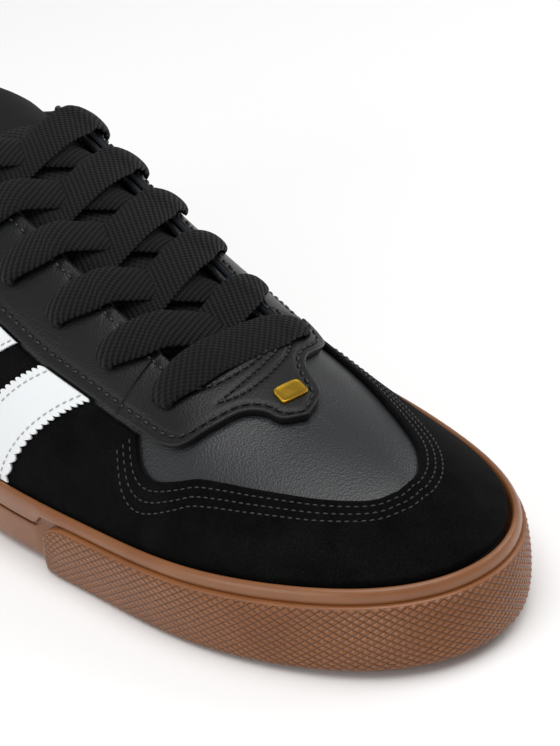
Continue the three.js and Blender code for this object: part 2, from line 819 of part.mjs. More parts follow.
// Top edge of the suede at share w: the window in front, the eyestay beside the throat, and the
// cuff behind it.
const windowCurves = { outer: column(WINDOW, 'outer'), inner: column(WINDOW, 'inner') };

function suedeTop(side, w) {
  if (w >= WINDOW_START) {
    return along(windowCurves[side], (w - WINDOW_START) / (1 - WINDOW_START));
  }
  const beside = stayShare(side, w, 2 * GAP);
  const below = (r) => {
    const point = upperPoint(side, w, r);
    return Math.min(topLine(point.y), 2 * COLLAR_HEIGHT) - CUFF_DROP - point.z;
  };
  const cuff = root(below, 0, 1);
  const y = upperPoint(side, w, beside).y;
  return mix(cuff, beside, ease(y, THROAT_BACK - CUFF_BLEND, THROAT_BACK - 1));
}

function overlay(shares, top, low, high, foot) {
  return SIDES.map((side) => shares(side).map((w) => {
    const start = top(side, w);
    const cells = span(5).map((t) => {
      const point = upperPoint(side, w, mix(start, 1, lowered(t)));
      return { point, low, high };
    });
    if (foot) {
      const base = edge(side, w, LAST_INSET);
      const z = mix(floorHeight(base.y), rimHeight(base.y), 0.6);
      cells.push({ point: new THREE.Vector3(base.x, base.y, z), low, high });
    }
    return cells;
  }));
}

// Suede: from the heel counter forwards along both sides and round the toe, open at the window.
function suede() {
  const shares = (side) => {
    const start = shareAt(side, COUNTER_FRONT, LAST_INSET);
    const corner = [0, 0.008, 0.016].map((t) => WINDOW_START + t);
    const rest = upperShares().filter((w) => w > start + 0.01);
    return [start, ...rest, ...corner].sort((a, b) => a - b);
  };
  const columns = overlay(shares, suedeTop, GAP, SUEDE_OUT, true);
  return shell([...columns[0], ...columns[1].toReversed()]);
}

// Heel counter: the suede cup round the back of the heel.
function counter() {
  const shares = (side) => {
    const end = shareAt(side, COUNTER_FRONT - 3 * GAP, LAST_INSET);
    return [...upperShares().filter((w) => w < end - 0.01), end];
  };
  const columns = overlay(shares, suedeTop, GAP, SUEDE_OUT, true);
  return shell([...columns[1].toReversed(), ...columns[0].slice(1)]);
}

// Side band: a leather strip on the suede, raked back from the eyestay to the rim.
function sideBand(side, front, width) {
  const low = SUEDE_OUT + GAP;
  const columns = span(3).map((s) => {
    const y = front - s * width;
    const head = ridgeShare(y);
    const foot = shareAt(side, y - BAND_RAKE, LAST_INSET);
    const top = stayShare(side, head, 4 * GAP);
    return span(6).map((t) => {
      const point = upperPoint(side, mix(head, foot, t), mix(top, BAND_FOOT, t));
      return { point, low, high: low + BAND };
    });
  });
  return shell(side === 'outer' ? columns.toReversed() : columns);
}

// Tongue: a padded strip under the eyestay, standing out of the throat at the top.
function tongue() {
  const centreTop = (y) => {
    const share = ease(y, TONGUE_BACK, TONGUE_FREE_FRONT);
    return mix(TONGUE_TOP_HEIGHT, TONGUE_LOW_HEIGHT, share);
  };
  const rows = span(8).map((u) => span(20).map((v) => {
    const y = mix(TONGUE_FRONT, TONGUE_BACK, v);
    const across = 2 * u - 1;
    const half = mix(TONGUE_HALF_FRONT, TONGUE_HALF_BACK, v);
    const x = centreLine(y) + across * half;
    const under = overUpper(x, y);
    const free = new THREE.Vector3(x, y, centreTop(y) - TONGUE_CROWN * across ** 2);
    const t = 1 - ease(y, TONGUE_FREE_BACK, TONGUE_FREE_FRONT);
    const lift = under.clone().lerp(free, t);
    const high = mix(-(WALL + 4 * WIDE_GAP), 0, t);
    const thick = mix(TONGUE_THICKNESS, TONGUE_TOP_THICKNESS, t) * (1 - 0.45 * across ** 8);
    return { point: lift, low: high - thick, high };
  }));
  return shell(rows);
}

// Lace: one straight bar at the front and two crossings for each further pair of eyelets.
function laceRun(from, to, rise) {
  const reach = to.point.clone().sub(from.point).setZ(0).normalize();
  const square = new THREE.Vector3(-reach.y, reach.x, 0);
  const low = WIDE_GAP + STAY + 2 * WIDE_GAP;
  const rows = [-1, 1].map((side) => span(8).map((t) => {
    const plan = from.point.clone().lerp(to.point, t).addScaledVector(square, side * LACE_WIDTH / 2);
    const over = low + rise * Math.sin(Math.PI * t);
    return { point: overUpper(plan.x, plan.y), low: over, high: over + LACE_THICKNESS };
  }));
  return solid(shell(rows));
}

function lacing() {
  const place = (row, turn) => eyelets.find((hole) => hole.row === row && hole.turn === turn);
  let body = laceRun(place(0, -1), place(0, 1), 0);
  for (let row = 0; row + 1 < EYELET_ROWS; row += 1) {
    body = body.add(laceRun(place(row, -1), place(row + 1, 1), 0));
    body = body.add(laceRun(place(row + 1, -1), place(row, 1), LACE_RISE));
  }
  return geometryOf(body);
}

// Badge: a small plain plate on the tab of the eyestay.
function badge() {
  const low = WIDE_GAP + STAY + GAP;
  const rows = span(4).map((u) => span(4).map((v) => {
    const x = BADGE_ACROSS + (u - 0.5) * BADGE_LENGTH;
    const y = BADGE_ALONG + (0.5 - v) * BADGE_WIDTH;
    return { point: overUpper(x, y), low, high: low + BADGE_THICKNESS };
  }));
  return shell(rows);
}

const gum = { color: 0x8a5a3c, roughness: 0.55, metalness: 0 };
const darkGum = { color: 0x7a4c30, roughness: 0.5, metalness: 0 };
const blackSuede = { color: 0x101010, roughness: 0.95, metalness: 0 };
const blackLeather = { color: 0x24262a, roughness: 0.45, metalness: 0 };
const whiteLeather = { color: 0xe8eaea, roughness: 0.5, metalness: 0 };
const blackMesh = { color: 0x15161a, roughness: 0.9, metalness: 0 };
const lining = { color: 0x1b1b1d, roughness: 0.9, metalness: 0 };
const laceCloth = { color: 0x0e0e0f, roughness: 0.85, metalness: 0 };
const gold = { color: 0xb99436, roughness: 0.3, metalness: 0.9 };

function piece(name, geometry, look) {
  const bare = geometry.clone();
  bare.computeVertexNormals();
  const mesh = new THREE.Mesh(bare, new THREE.MeshStandardMaterial(look));
  mesh.name = name;
  return mesh;
}

const NARROW_FRONT = BAND_FRONT - WIDE_BAND - BAND_GAP;
const shoe = new THREE.Group();
shoe.add(
  piece('cupsole', sole(), darkGum),
  piece('toe_bumper', bumper(), gum),
  piece('insole', insole(), lining),
  piece('upper', upper(), blackLeather),
  piece('tongue', tongue(), blackMesh),
  piece('suede_toe_and_sides', suede(), blackSuede),
  piece('heel_counter', counter(), blackSuede),
  piece('eyestay', eyestay(), blackLeather),
  piece('lace_crossings', lacing(), laceCloth),
  piece('badge_plate', badge(), gold),
);
for (const side of SIDES) {
  shoe.add(
    piece(`wide_band_${side}`, sideBand(side, BAND_FRONT, WIDE_BAND), whiteLeather),
    piece(`narrow_band_${side}`, sideBand(side, NARROW_FRONT, NARROW_BAND), whiteLeather),
  );
}

// The origin is under the middle of the shoe's box, on the plane of the tread.
const box = new THREE.Box3().setFromObject(shoe);
const middle = box.getCenter(new THREE.Vector3());
for (const mesh of shoe.children) {
  mesh.geometry.translate(-middle.x, -middle.y, -box.min.z);
}

export default shoe;
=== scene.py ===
import bpy
import numpy as np
from mathutils import Matrix, Vector


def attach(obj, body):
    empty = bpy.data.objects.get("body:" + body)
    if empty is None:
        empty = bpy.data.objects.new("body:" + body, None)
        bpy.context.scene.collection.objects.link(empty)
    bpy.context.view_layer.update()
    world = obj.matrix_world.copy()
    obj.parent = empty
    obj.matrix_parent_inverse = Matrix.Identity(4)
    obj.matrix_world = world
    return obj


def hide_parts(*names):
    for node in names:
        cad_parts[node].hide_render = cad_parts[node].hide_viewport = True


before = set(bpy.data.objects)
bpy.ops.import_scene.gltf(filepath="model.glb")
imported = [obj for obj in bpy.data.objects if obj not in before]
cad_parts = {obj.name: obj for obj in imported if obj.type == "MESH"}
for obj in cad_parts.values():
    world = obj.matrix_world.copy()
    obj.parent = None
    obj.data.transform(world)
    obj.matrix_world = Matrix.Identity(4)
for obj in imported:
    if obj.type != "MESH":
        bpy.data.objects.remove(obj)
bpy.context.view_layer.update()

# Camera
# It looks down on the toe from the outer side, rolled a little, through a long lens.
# The toe end fills the frame and the heel runs out of it at the left, as in the photograph.
azimuth, elevation, roll = np.radians([147.0, 29.0, -6.5])
distance = 0.705
focal_pixels, frame_height, sensor = 2565, 746, 36
target = Vector((-0.0264, 0.0406, 0.030))
back = Vector((np.sin(azimuth) * np.cos(elevation), -np.cos(azimuth) * np.cos(elevation), np.sin(elevation)))
right = Vector((np.cos(azimuth), np.sin(azimuth), 0.0))
upward = back.cross(right)
tilted_right = np.cos(roll) * right + np.sin(roll) * upward
tilted_up = np.cos(roll) * upward - np.sin(roll) * right
lens = bpy.data.cameras.new("camera")
lens.lens = focal_pixels / frame_height * sensor
lens.sensor_fit = "AUTO"
lens.sensor_width = sensor
lens.clip_start = 0.01
camera = bpy.data.objects.new("camera", lens)
bpy.context.collection.objects.link(camera)
camera.matrix_world = Matrix.Translation(target + distance * back) @ Matrix(
    (tilted_right, tilted_up, back)).transposed().to_4x4()
bpy.context.scene.camera = camera

# Floor and light
# A white sweep of matt paper under the shoe, lit to full white by a large soft box overhead. One more
# on the outer side and a strip behind draw the soft highlights along the leather and the sole's rim.
bpy.context.scene.view_settings.view_transform = "Standard"


def linear(code):
    """sRGB hex code to linear red, green, blue and alpha."""
    value = np.array([int(code[i:i + 2], 16) for i in (1, 3, 5)]) / 255
    value = np.where(value <= 0.04045, value / 12.92, ((value + 0.055) / 1.055) ** 2.4)
    return (*value, 1.0)


def start_material(name, code, roughness, ior=1.5):
    """A new material of one colour, with its node list and its shader."""
    made = bpy.data.materials.new(name)
    made.use_nodes = True
    made.diffuse_color = linear(code)
    shader = made.node_tree.nodes["Principled BSDF"]
    shader.inputs["Base Color"].default_value = linear(code)
    shader.inputs["Roughness"].default_value = roughness
    shader.inputs["IOR"].default_value = ior
    return made, shader


def add_node(made, kind, settings=None, values=None, links=None, stops=()):
    """Adds a node: settings are its own properties, values its sockets, links its inputs, and stops
    the places and colours along its ramp."""
    node = made.node_tree.nodes.new(kind)
    for key, value in (settings or {}).items():
        setattr(node, key, value)
    for key, value in (values or {}).items():
        node.inputs[key].default_value = value
    for key, source in (links or {}).items():
        made.node_tree.links.new(source, node.inputs[key])
    for k, (place, code) in enumerate(stops):
        node.color_ramp.elements[k].position = place
        node.color_ramp.elements[k].color = linear(code)
    return node


def join(made, source, target):
    """Links one socket to another."""
    made.node_tree.links.new(source, target)


def add_relief(made, shader, texture, scale, strength, depth):
    """Fine relief all over a finish: a texture on the object's own coordinates, turned into bump."""
    where = add_node(made, "ShaderNodeTexCoord")
    pattern = add_node(made, texture, values={"Scale": scale}, links={"Vector": where.outputs["Object"]})
    bump = add_node(made, "ShaderNodeBump", values={"Strength": strength, "Distance": depth},
                    links={"Height": pattern.outputs[0]})
    join(made, bump.outputs["Normal"], shader.inputs["Normal"])


paper, paper_shader = start_material("matt_white_paper", "#FFFFFF", 0.9)
add_relief(paper, paper_shader, "ShaderNodeTexNoise", 60.0, 0.02, 0.0002)
sweep = bpy.data.meshes.new("floor")
sweep.from_pydata([(-3, -3, 0), (3, -3, 0), (3, 3, 0), (-3, 3, 0)], [], [(0, 1, 2, 3)])
sweep.materials.append(paper)
floor = bpy.data.objects.new("floor", sweep)
bpy.context.collection.objects.link(floor)

world = bpy.data.worlds.new("studio")
bpy.context.scene.world = world
world.use_nodes = True
world.node_tree.nodes["Background"].inputs["Color"].default_value = (1, 1, 1, 1)
world.node_tree.nodes["Background"].inputs["Strength"].default_value = 0.38


def add_light(name, place, aim, width, height, power):
    """A rectangular soft box at a place, turned to face a point."""
    box = bpy.data.lights.new(name, "AREA")
    box.shape = "RECTANGLE"
    box.size, box.size_y, box.energy = width, height, power
    lamp = bpy.data.objects.new(name, box)
    bpy.context.collection.objects.link(lamp)
    lamp.location = place
    lamp.rotation_euler = (Vector(aim) - Vector(place)).to_track_quat("-Z", "Y").to_euler()


add_light("overhead", (0.1, 0.35, 1.3), (0, 0.03, 0), 1.2, 1.1, 12.6)
add_light("side_box", (1.15, 0.05, 0.40), (0, 0.05, 0.03), 0.9, 0.5, 3.4)
add_light("back_strip", (-0.9, 0.2, 0.7), (0, 0.03, 0.05), 0.9, 0.3, 2.5)

# Cupsole
# The tread, cup and wall of one rubber moulding in gum brown, with a rounded rim that stands round
# the upper. Its wall has a fine moulded grain under a mould line, and the tread is cross cut.
LENGTH, BALL_WIDTH, RIM_HEIGHT, RIM_WIDTH = 301.0, 111.0, 31.0, 4.4
HEEL_FLOOR, FORE_FLOOR = 14.0, 8.0
GROOVE_PITCH, GROOVE_DEPTH, WAVE_LONG, WAVE_HIGH = 6.5, 1.1, 9.0, 6.3
LAST_PLACE = np.array([1.1, -0.45])
OUTLINE = np.array([
    # across  along
    (0.000, -0.030), (0.330, -0.012), (0.425, 0.095), (0.420, 0.260), (0.475, 0.410),
    (0.535, 0.530), (0.455, 0.700), (0.425, 0.838), (0.210, 0.998), (-0.085, 1.037),
    (-0.340, 0.967), (-0.450, 0.805), (-0.480, 0.623), (-0.365, 0.480), (-0.315, 0.300),
    (-0.400, 0.110), (-0.310, -0.012)])
RIM = [1, .95, .90, .83, .76, .69, .66, .66, .72, .81, .87]
ARCH_LIFT, TOE_SPRING = 1.5, 3.6


def ease(x, low, high):
    """Smooth step from 0 at low to 1 at high."""
    t = np.clip((x - low) / (high - low), 0, 1)
    return t * t * (3 - 2 * t)


def blend_four(a, b, c, d, t):
    """Uniform cubic B-spline through four neighbouring values."""
    return ((1 - t) ** 3 * a + (3 * t ** 3 - 6 * t ** 2 + 4) * b
            + (-3 * t ** 3 + 3 * t ** 2 + 3 * t + 1) * c + t ** 3 * d) / 6


def along(values, t):
    """Smooth value at share t of a list of equally spaced values."""
    v = np.asarray(values, float)
    v = np.concatenate([[2 * v[0] - v[1]], v, [2 * v[-1] - v[-2]]])
    x = np.clip(t, 0, 1) * (len(v) - 3)
    i = np.minimum(x.astype(int), len(v) - 4)
    return blend_four(v[i], v[i + 1], v[i + 2], v[i + 3], x - i)


def tread_height(y):
    """The tread is flat at heel and ball, lifted under the arch and curved up at the toe."""
    s = y / LENGTH + 0.5
    arch = ease(s, 0.30, 0.38) * (1 - ease(s, 0.46, 0.54))
    return ARCH_LIFT * arch + TOE_SPRING * np.maximum(0, (s - 0.70) / 0.30) ** 2


def rim_height(y):
    """Height of the top of the wall."""
    return RIM_HEIGHT * along(RIM, y / LENGTH + 0.5)


def outline_points(steps=7200):
    """Closed B-spline of the outline's rows, fitted to the shoe's length and width."""
    x = np.arange(steps) / steps * len(OUTLINE)
    i = x.astype(int)
    near = [OUTLINE[(i + k) % len(OUTLINE)] for k in (-1, 0, 1, 2)]
    raw = blend_four(*near, (x - i)[:, None])
    low, high = raw.min(0), raw.max(0)
    return (raw - (low + high) / 2) * np.array([BALL_WIDTH, LENGTH]) / (high - low)


outline = outline_points()


def inward(points):
    """Unit normals into a closed line that turns left."""
    step = np.roll(points, -1, 0) - np.roll(points, 1, 0)
    step /= np.linalg.norm(step, axis=1)[:, None]
    return np.stack([-step[:, 1], step[:, 0]], 1)


outline_in = inward(outline)


def line_reach(points):
    """Length so far at each point of a line."""
    return np.concatenate([[0], np.cumsum(np.linalg.norm(np.diff(points, axis=0), axis=1))])


def even_ring(count, closed=True):
    """Places at equal steps round the outline, with the way in and the length so far at each."""
    ring = np.vstack([outline, outline[:1]])
    ways = np.vstack([outline_in, outline_in[:1]])
    reach = line_reach(ring)
    at = np.linspace(0, reach[-1], count, endpoint=not closed)
    pick = lambda table: np.stack([np.interp(at, reach, table[:, k]) for k in range(2)], 1)
    return pick(ring), pick(ways), at


def smooth_rows(rows, count):
    """Catmull-Rom curve through the rows of a table, at equal steps of its own length."""
    rows = np.asarray(rows, float)
    padded = np.vstack([2 * rows[0] - rows[1], rows, 2 * rows[-1] - rows[-2]])
    t = np.linspace(0, len(rows) - 1, 40 * len(rows))
    i = np.minimum(t.astype(int), len(rows) - 2)
    f = (t - i)[:, None]
    a, b, c, d = padded[i], padded[i + 1], padded[i + 2], padded[i + 3]
    line = 0.5 * (2 * b + (c - a) * f + (2 * a - 5 * b + 4 * c - d) * f ** 2
                  + (3 * b - a - 3 * c + d) * f ** 3)
    reach = line_reach(line)
    at = np.linspace(0, reach[-1], count)
    return np.stack([np.interp(at, reach, line[:, k]) for k in range(line.shape[1])], 1)


def cells(rows, cols, wrap_rows=False, wrap_cols=False):
    """Corner numbers of each cell of a grid of points."""
    i = np.arange(rows if wrap_rows else rows - 1)[:, None]
    j = np.arange(cols if wrap_cols else cols - 1)[None]
    corners = [(i + a) % rows * cols + (j + b) % cols for a, b in ((0, 0), (1, 0), (1, 1), (0, 1))]
    return np.stack(corners, -1).reshape(-1, 4)


def tube_faces(grid, turned=False):
    """Faces of a loop carried along a path, with a cap on each end. Each row of the grid is a loop."""
    rows, cols = grid.shape[:2]
    faces = cells(rows, cols, wrap_cols=True).tolist()
    faces += [list(range(cols)), list(range((rows - 1) * cols, rows * cols))[::-1]]
    return [face[::-1] for face in faces] if turned else faces


def make_piece(name, points, faces, finishes, node=None, uv=None, pick=None, shade=None):
    """Makes a smooth mesh from points in the last's millimetres, and rides it on the shoe."""
    flat = np.asarray(points, float).reshape(-1, 3) + np.array([*LAST_PLACE, 0])
    mesh = bpy.data.meshes.new(name)
    mesh.from_pydata((flat / 1000).tolist(), [], [list(face) for face in faces])
    mesh.shade_smooth()
    for finish in finishes:
        mesh.materials.append(finish)
    if pick is not None:
        mesh.polygons.foreach_set("material_index", np.asarray(pick, np.int32))
    if uv is not None:
        corner = np.empty(len(mesh.loops), np.int32)
        mesh.loops.foreach_get("vertex_index", corner)
        layer = mesh.uv_layers.new(name="surface")
        layer.data.foreach_set("uv", np.asarray(uv, float).reshape(-1, 2)[corner].ravel() / 1000)
    if shade is not None:
        layer = mesh.attributes.new("shade", "FLOAT", "POINT")
        layer.data.foreach_set("value", np.asarray(shade, np.float32).ravel())
    mesh.update()
    piece = bpy.data.objects.new(name, mesh)
    bpy.context.collection.objects.link(piece)
    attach(piece, "root")
    if node:
        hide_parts(*([node] if isinstance(node, str) else node))
    return piece


SIDE_WALL = [  # share of the rim's width in from the outline, share of the wall's height
    (2.50, 0.00), (1.60, 0.015), (1.05, 0.09), (0.82, 0.22), (0.74, 0.40), (0.70, 0.55), (0.73, 0.595),
    (0.92, 0.61), (0.90, 0.635), (0.68, 0.65), (0.62, 0.70), (0.56, 0.80), (0.52, 0.88), (0.55, 0.945),
    (0.65, 0.985), (0.80, 1.00), (0.93, 0.985), (1.02, 0.93)]
SEAT_WALL = [
    (2.50, 0.00), (1.60, 0.01), (1.15, 0.02), (1.00, 0.06), (0.98, 0.20), (0.98, 0.40), (0.98, 0.55),
    (0.98, 0.62), (0.98, 0.70), (0.96, 0.78), (0.80, 0.815), (0.52, 0.83), (0.42, 0.87), (0.44, 0.93),
    (0.58, 0.98), (0.76, 1.00), (0.92, 0.985), (1.02, 0.93)]
BUMPER_BACK = 37.0

ring, ways, _ = even_ring(620)
seat = ease(ring[:, 1], BUMPER_BACK - 3.5, BUMPER_BACK + 1.5)
flare = 0.3 * (1 - ease(ring[:, 1] / LENGTH + 0.5, 0.1, 0.34))
side_rows, seat_rows = smooth_rows(SIDE_WALL, 64), smooth_rows(SEAT_WALL, 64)
rows = side_rows[None] + (seat_rows - side_rows)[None] * seat[:, None, None]
inside_lip = ease(rows[..., 0], 0.8, 1.0) * (rows[..., 1] > 0.9)
inset = RIM_WIDTH * (rows[..., 0] - flare[:, None] * (1 - inside_lip))
wall = ring[:, None] + ways[:, None] * inset[..., None]
wall_z = tread_height(wall[..., 1]) * (1 - rows[..., 1]) + rim_height(wall[..., 1]) * rows[..., 1]
wall = np.dstack([wall, wall_z])
spine = np.stack([0 * ring[:, 0], np.clip(wall[:, 0, 1], -96, 96)], 1)
share = np.linspace(0, 1, 74)[None, :-1, None]
tread = spine[:, None] * (1 - share) + wall[:, :1, :2] * share
wave = WAVE_HIGH * np.abs((tread[..., 0] / WAVE_LONG) % 2 - 1)
cut = np.abs(((tread[..., 1] + wave) / GROOVE_PITCH) % 1 - 0.5)
depth = GROOVE_DEPTH * ease(cut, 0.28, 0.36) * (1 - ease(share[..., 0], 0.86, 0.93))
tread = np.dstack([tread, tread_height(tread[..., 1]) + depth])
inner = wall[:, -1:].copy()
inner[..., 2] = HEEL_FLOOR
inner_mid = np.dstack([spine[:, None], np.full((len(ring), 1, 1), HEEL_FLOOR)])
sole_grid = np.concatenate([tread, wall, inner, inner_mid], 1)
# The stipple is full on the low wall, faint on the rim and left off the tread.
low_share = np.concatenate([np.zeros(tread.shape[1]), np.where(side_rows[:, 1] < 0.6, 1.0, 0.08), [0, 0]])
gum, gum_shader = start_material("gum_rubber_wall", "#84532F", 0.34, 1.52)
# Natural gum rubber from a polished mould: warm brown, a soft gloss on the rim, a fine grain under
# the mould line, and slightly cloudy colour.
where = add_node(gum, "ShaderNodeTexCoord")
cloud = add_node(gum, "ShaderNodeTexNoise", values={"Scale": 55.0, "Detail": 4.0},
                 links={"Vector": where.outputs["Object"]})
gum_tint = add_node(gum, "ShaderNodeValToRGB", links={"Fac": cloud.outputs["Fac"]},
                    stops=[(0.3, "#7C4C2B"), (0.7, "#885834")])
join(gum, gum_tint.outputs["Color"], gum_shader.inputs["Base Color"])
speck = add_node(gum, "ShaderNodeTexNoise", values={"Scale": 1500.0, "Detail": 2.0},
                 links={"Vector": where.outputs["Object"]})
low_wall = add_node(gum, "ShaderNodeAttribute", {"attribute_name": "shade"})
stipple = add_node(gum, "ShaderNodeMath", {"operation": "MULTIPLY"},
                   links={0: speck.outputs["Fac"], 1: low_wall.outputs["Fac"]})
gum_bump = add_node(gum, "ShaderNodeBump", values={"Strength": 0.9, "Distance": 0.0003},
                    links={"Height": stipple.outputs["Value"]})
join(gum, gum_bump.outputs["Normal"], gum_shader.inputs["Normal"])
make_piece("sole", sole_grid, cells(*sole_grid.shape[:2], wrap_rows=True), [gum], "cupsole",
           shade=np.broadcast_to(low_share[None], sole_grid.shape[:2]))

# Toe bumper
# A thicker band of the same gum, moulded with rows of small raised diamonds and set into the wall
# round the toe. It is lighter and duller than the rim, because the texture scatters the light.
BUMPER = [  # share of the rim's width in from the outline, share of the wall's height
    (0.92, 0.825), (0.62, 0.832), (0.30, 0.825), (0.16, 0.795), (0.08, 0.72), (0.03, 0.60), (0.00, 0.46),
    (0.02, 0.30), (0.09, 0.17), (0.22, 0.06), (0.42, 0.01), (0.70, 0.00), (0.92, 0.02)]
BUMPER_END_ROUND = 13.0
DIAMOND_LONG, DIAMOND_HIGH, DIAMOND_RELIEF = 3.1, 1.95, 0.35
ring, ways, reach = even_ring(7200, closed=False)
front = ring[:, 1] > BUMPER_BACK
first, last_one = np.nonzero(front)[0][[0, -1]]
span = np.linspace(reach[first], reach[last_one], 1020)
ring = np.stack([np.interp(span, reach, ring[:, k]) for k in range(2)], 1)
ways = np.stack([np.interp(span, reach, ways[:, k]) for k in range(2)], 1)
tip = np.minimum(span - span[0], span[-1] - span)
rounded = np.sqrt(np.clip(1 - (1 - np.clip(tip / BUMPER_END_ROUND, 0, 1)) ** 2, 0, 1))
band_rows = smooth_rows(BUMPER, 92)
tall = band_rows[None, :, 1] * (0.45 + 0.55 * rounded)[:, None]
thin = band_rows[None, :, 0] + np.clip(0.72 - band_rows[None, :, 0], 0, 1) * (1 - rounded[:, None]) ** 1.5
wall_rise = (rim_height(ring[:, 1]) - tread_height(ring[:, 1]))[:, None]
slant = span[:, None] / DIAMOND_LONG
level = (band_rows[None, :, 1] * wall_rise) / DIAMOND_HIGH
one = np.abs((slant + level) % 1 - 0.5)
two = np.abs((slant - level) % 1 - 0.5)
peak = 2 * np.minimum(one, two)
textured = (1 - ease(band_rows[None, :, 1], 0.79, 0.812)) * (1 - ease(band_rows[None, :, 0], 0.42, 0.55))
textured = textured * ease(tip[:, None], 0.5, 2.5)
inset = RIM_WIDTH * thin + DIAMOND_RELIEF * (1 - peak) * textured
lattice = np.stack(np.broadcast_arrays(slant, level), -1) * 1000
bumper = ring[:, None] + ways[:, None] * inset[..., None]
bumper_z = tread_height(bumper[..., 1]) * (1 - tall) + rim_height(bumper[..., 1]) * tall
bumper = np.dstack([bumper, np.maximum(bumper_z, tread_height(bumper[..., 1]) + 0.02)])
bumper, textured, lattice = bumper[:, ::-1], textured[:, ::-1], lattice[:, ::-1]
band_gum, band_shader = start_material("gum_rubber_textured", "#845030", 0.29, 1.52)
# The same rubber from a spark eroded mould: paler, with glints on the edges of the diamonds.
where = add_node(band_gum, "ShaderNodeTexCoord")
cloud = add_node(band_gum, "ShaderNodeTexNoise", values={"Scale": 70.0, "Detail": 5.0},
                 links={"Vector": where.outputs["Object"]})
band_tint = add_node(band_gum, "ShaderNodeValToRGB", links={"Fac": cloud.outputs["Fac"]},
                     stops=[(0.3, "#7E4C28"), (0.7, "#8B5730")])
# The UV map holds the slant and level of the lattice of diamonds, so the grooves lie where both
# families of its lines do.
lattice_map = add_node(band_gum, "ShaderNodeUVMap", {"uv_map": "surface"})
steps = add_node(band_gum, "ShaderNodeSeparateXYZ", links={"Vector": lattice_map.outputs["UV"]})
sides = []
for operation in ("ADD", "SUBTRACT"):
    lines = add_node(band_gum, "ShaderNodeMath", {"operation": operation},
                     links={0: steps.outputs["X"], 1: steps.outputs["Y"]})
    moved = add_node(band_gum, "ShaderNodeMath", {"operation": "ADD"}, {1: 100.5},
                     {0: lines.outputs["Value"]})
    sides.append(add_node(band_gum, "ShaderNodeMath", {"operation": "PINGPONG"}, {1: 0.5},
                          {0: moved.outputs["Value"]}))
peak_node = add_node(band_gum, "ShaderNodeMath", {"operation": "MINIMUM"},
                     links={0: sides[0].outputs["Value"], 1: sides[1].outputs["Value"]})
patterned = add_node(band_gum, "ShaderNodeAttribute", {"attribute_name": "shade"})
flat_top = add_node(band_gum, "ShaderNodeMapRange", {"interpolation_type": "SMOOTHSTEP"},
                    {"From Max": 0.13}, {"Value": peak_node.outputs["Value"]})
smooth_part = add_node(band_gum, "ShaderNodeMath", {"operation": "SUBTRACT"}, {0: 1.0},
                       {1: patterned.outputs["Fac"]})
open_part = add_node(band_gum, "ShaderNodeMath", {"operation": "MAXIMUM"},
                     links={0: flat_top.outputs["Result"], 1: smooth_part.outputs["Value"]})
# Painted shade: a darker brown is painted into the grooves between the diamonds, standing in for the shade
# that falls in them.
groove_painted_shade = add_node(band_gum, "ShaderNodeMix", {"data_type": "RGBA"}, {6: linear("#54301A")},
                       {0: open_part.outputs["Value"], 7: band_tint.outputs["Color"]})
join(band_gum, groove_painted_shade.outputs[2], band_shader.inputs["Base Color"])
pyramid = add_node(band_gum, "ShaderNodeMath", {"operation": "POWER"}, {1: 0.7},
                   {0: peak_node.outputs["Value"]})
carved = add_node(band_gum, "ShaderNodeMath", {"operation": "MULTIPLY"},
                  links={0: pyramid.outputs["Value"], 1: patterned.outputs["Fac"]})
carve_bump = add_node(band_gum, "ShaderNodeBump", values={"Strength": 0.9, "Distance": 0.0008},
                      links={"Height": carved.outputs["Value"]})
speck = add_node(band_gum, "ShaderNodeTexNoise", values={"Scale": 2600.0, "Detail": 2.0},
                 links={"Vector": where.outputs["Object"]})
band_bump = add_node(band_gum, "ShaderNodeBump", values={"Strength": 0.3, "Distance": 0.00012},
                     links={"Height": speck.outputs["Fac"], "Normal": carve_bump.outputs["Normal"]})
join(band_gum, band_bump.outputs["Normal"], band_shader.inputs["Normal"])
make_piece("toe_band", bumper, tube_faces(bumper), [band_gum], "toe_bumper", uv=lattice,
           shade=textured)

# Insole
# A foam board covered with black knitted fabric, lying on the cup's floor inside the upper.
LAST_INSET, WALL = 6.3, 2.0


def floor_height(y):
    """Height of the cup's floor, thicker under the heel."""
    return HEEL_FLOOR + (FORE_FLOOR - HEEL_FLOOR) * ease(y / LENGTH + 0.5, 0.2, 0.55) + tread_height(y)


ring, ways, _ = even_ring(240)
rows = smooth_rows([(9.9, 0.6), (9.7, 1.2), (9.7, 4.4), (10.2, 5.3), (11.5, 5.5), (14, 5.5)], 16)
rim = ring[:, None] + ways[:, None] * rows[None, :, :1]
spine = np.stack([0 * ring[:, 0], np.clip(rim[:, -1, 1], -100, 100)], 1)
share = np.linspace(1, 0, 26)[None, 1:, None]
board = np.concatenate([rim, spine[:, None] * (1 - share) + rim[:, -1:] * share], 1)
lift = np.concatenate([np.broadcast_to(rows[None, :, 1], rim.shape[:2]), np.full((240, 25), 5.5)], 1)
board = np.dstack([board, floor_height(board[..., 1]) + lift])
knit, knit_shader = start_material("knitted_lining", "#141415", 0.92, 1.5)
knit_shader.inputs["Specular IOR Level"].default_value = 0.2
knit_shader.inputs["Sheen Weight"].default_value = 0.04
knit_shader.inputs["Sheen Roughness"].default_value = 0.5
# Black knitted polyester with a stitch of about 1 mm, matt with a faint pale bloom.
add_relief(knit, knit_shader, "ShaderNodeTexVoronoi", 900.0, 0.6, 0.0004)
faces = [list(face) for face in cells(*board.shape[:2], wrap_rows=True)]
faces.append([k * board.shape[1] for k in range(240)][::-1])
make_piece("insole_board", board, faces, [knit], "insole")

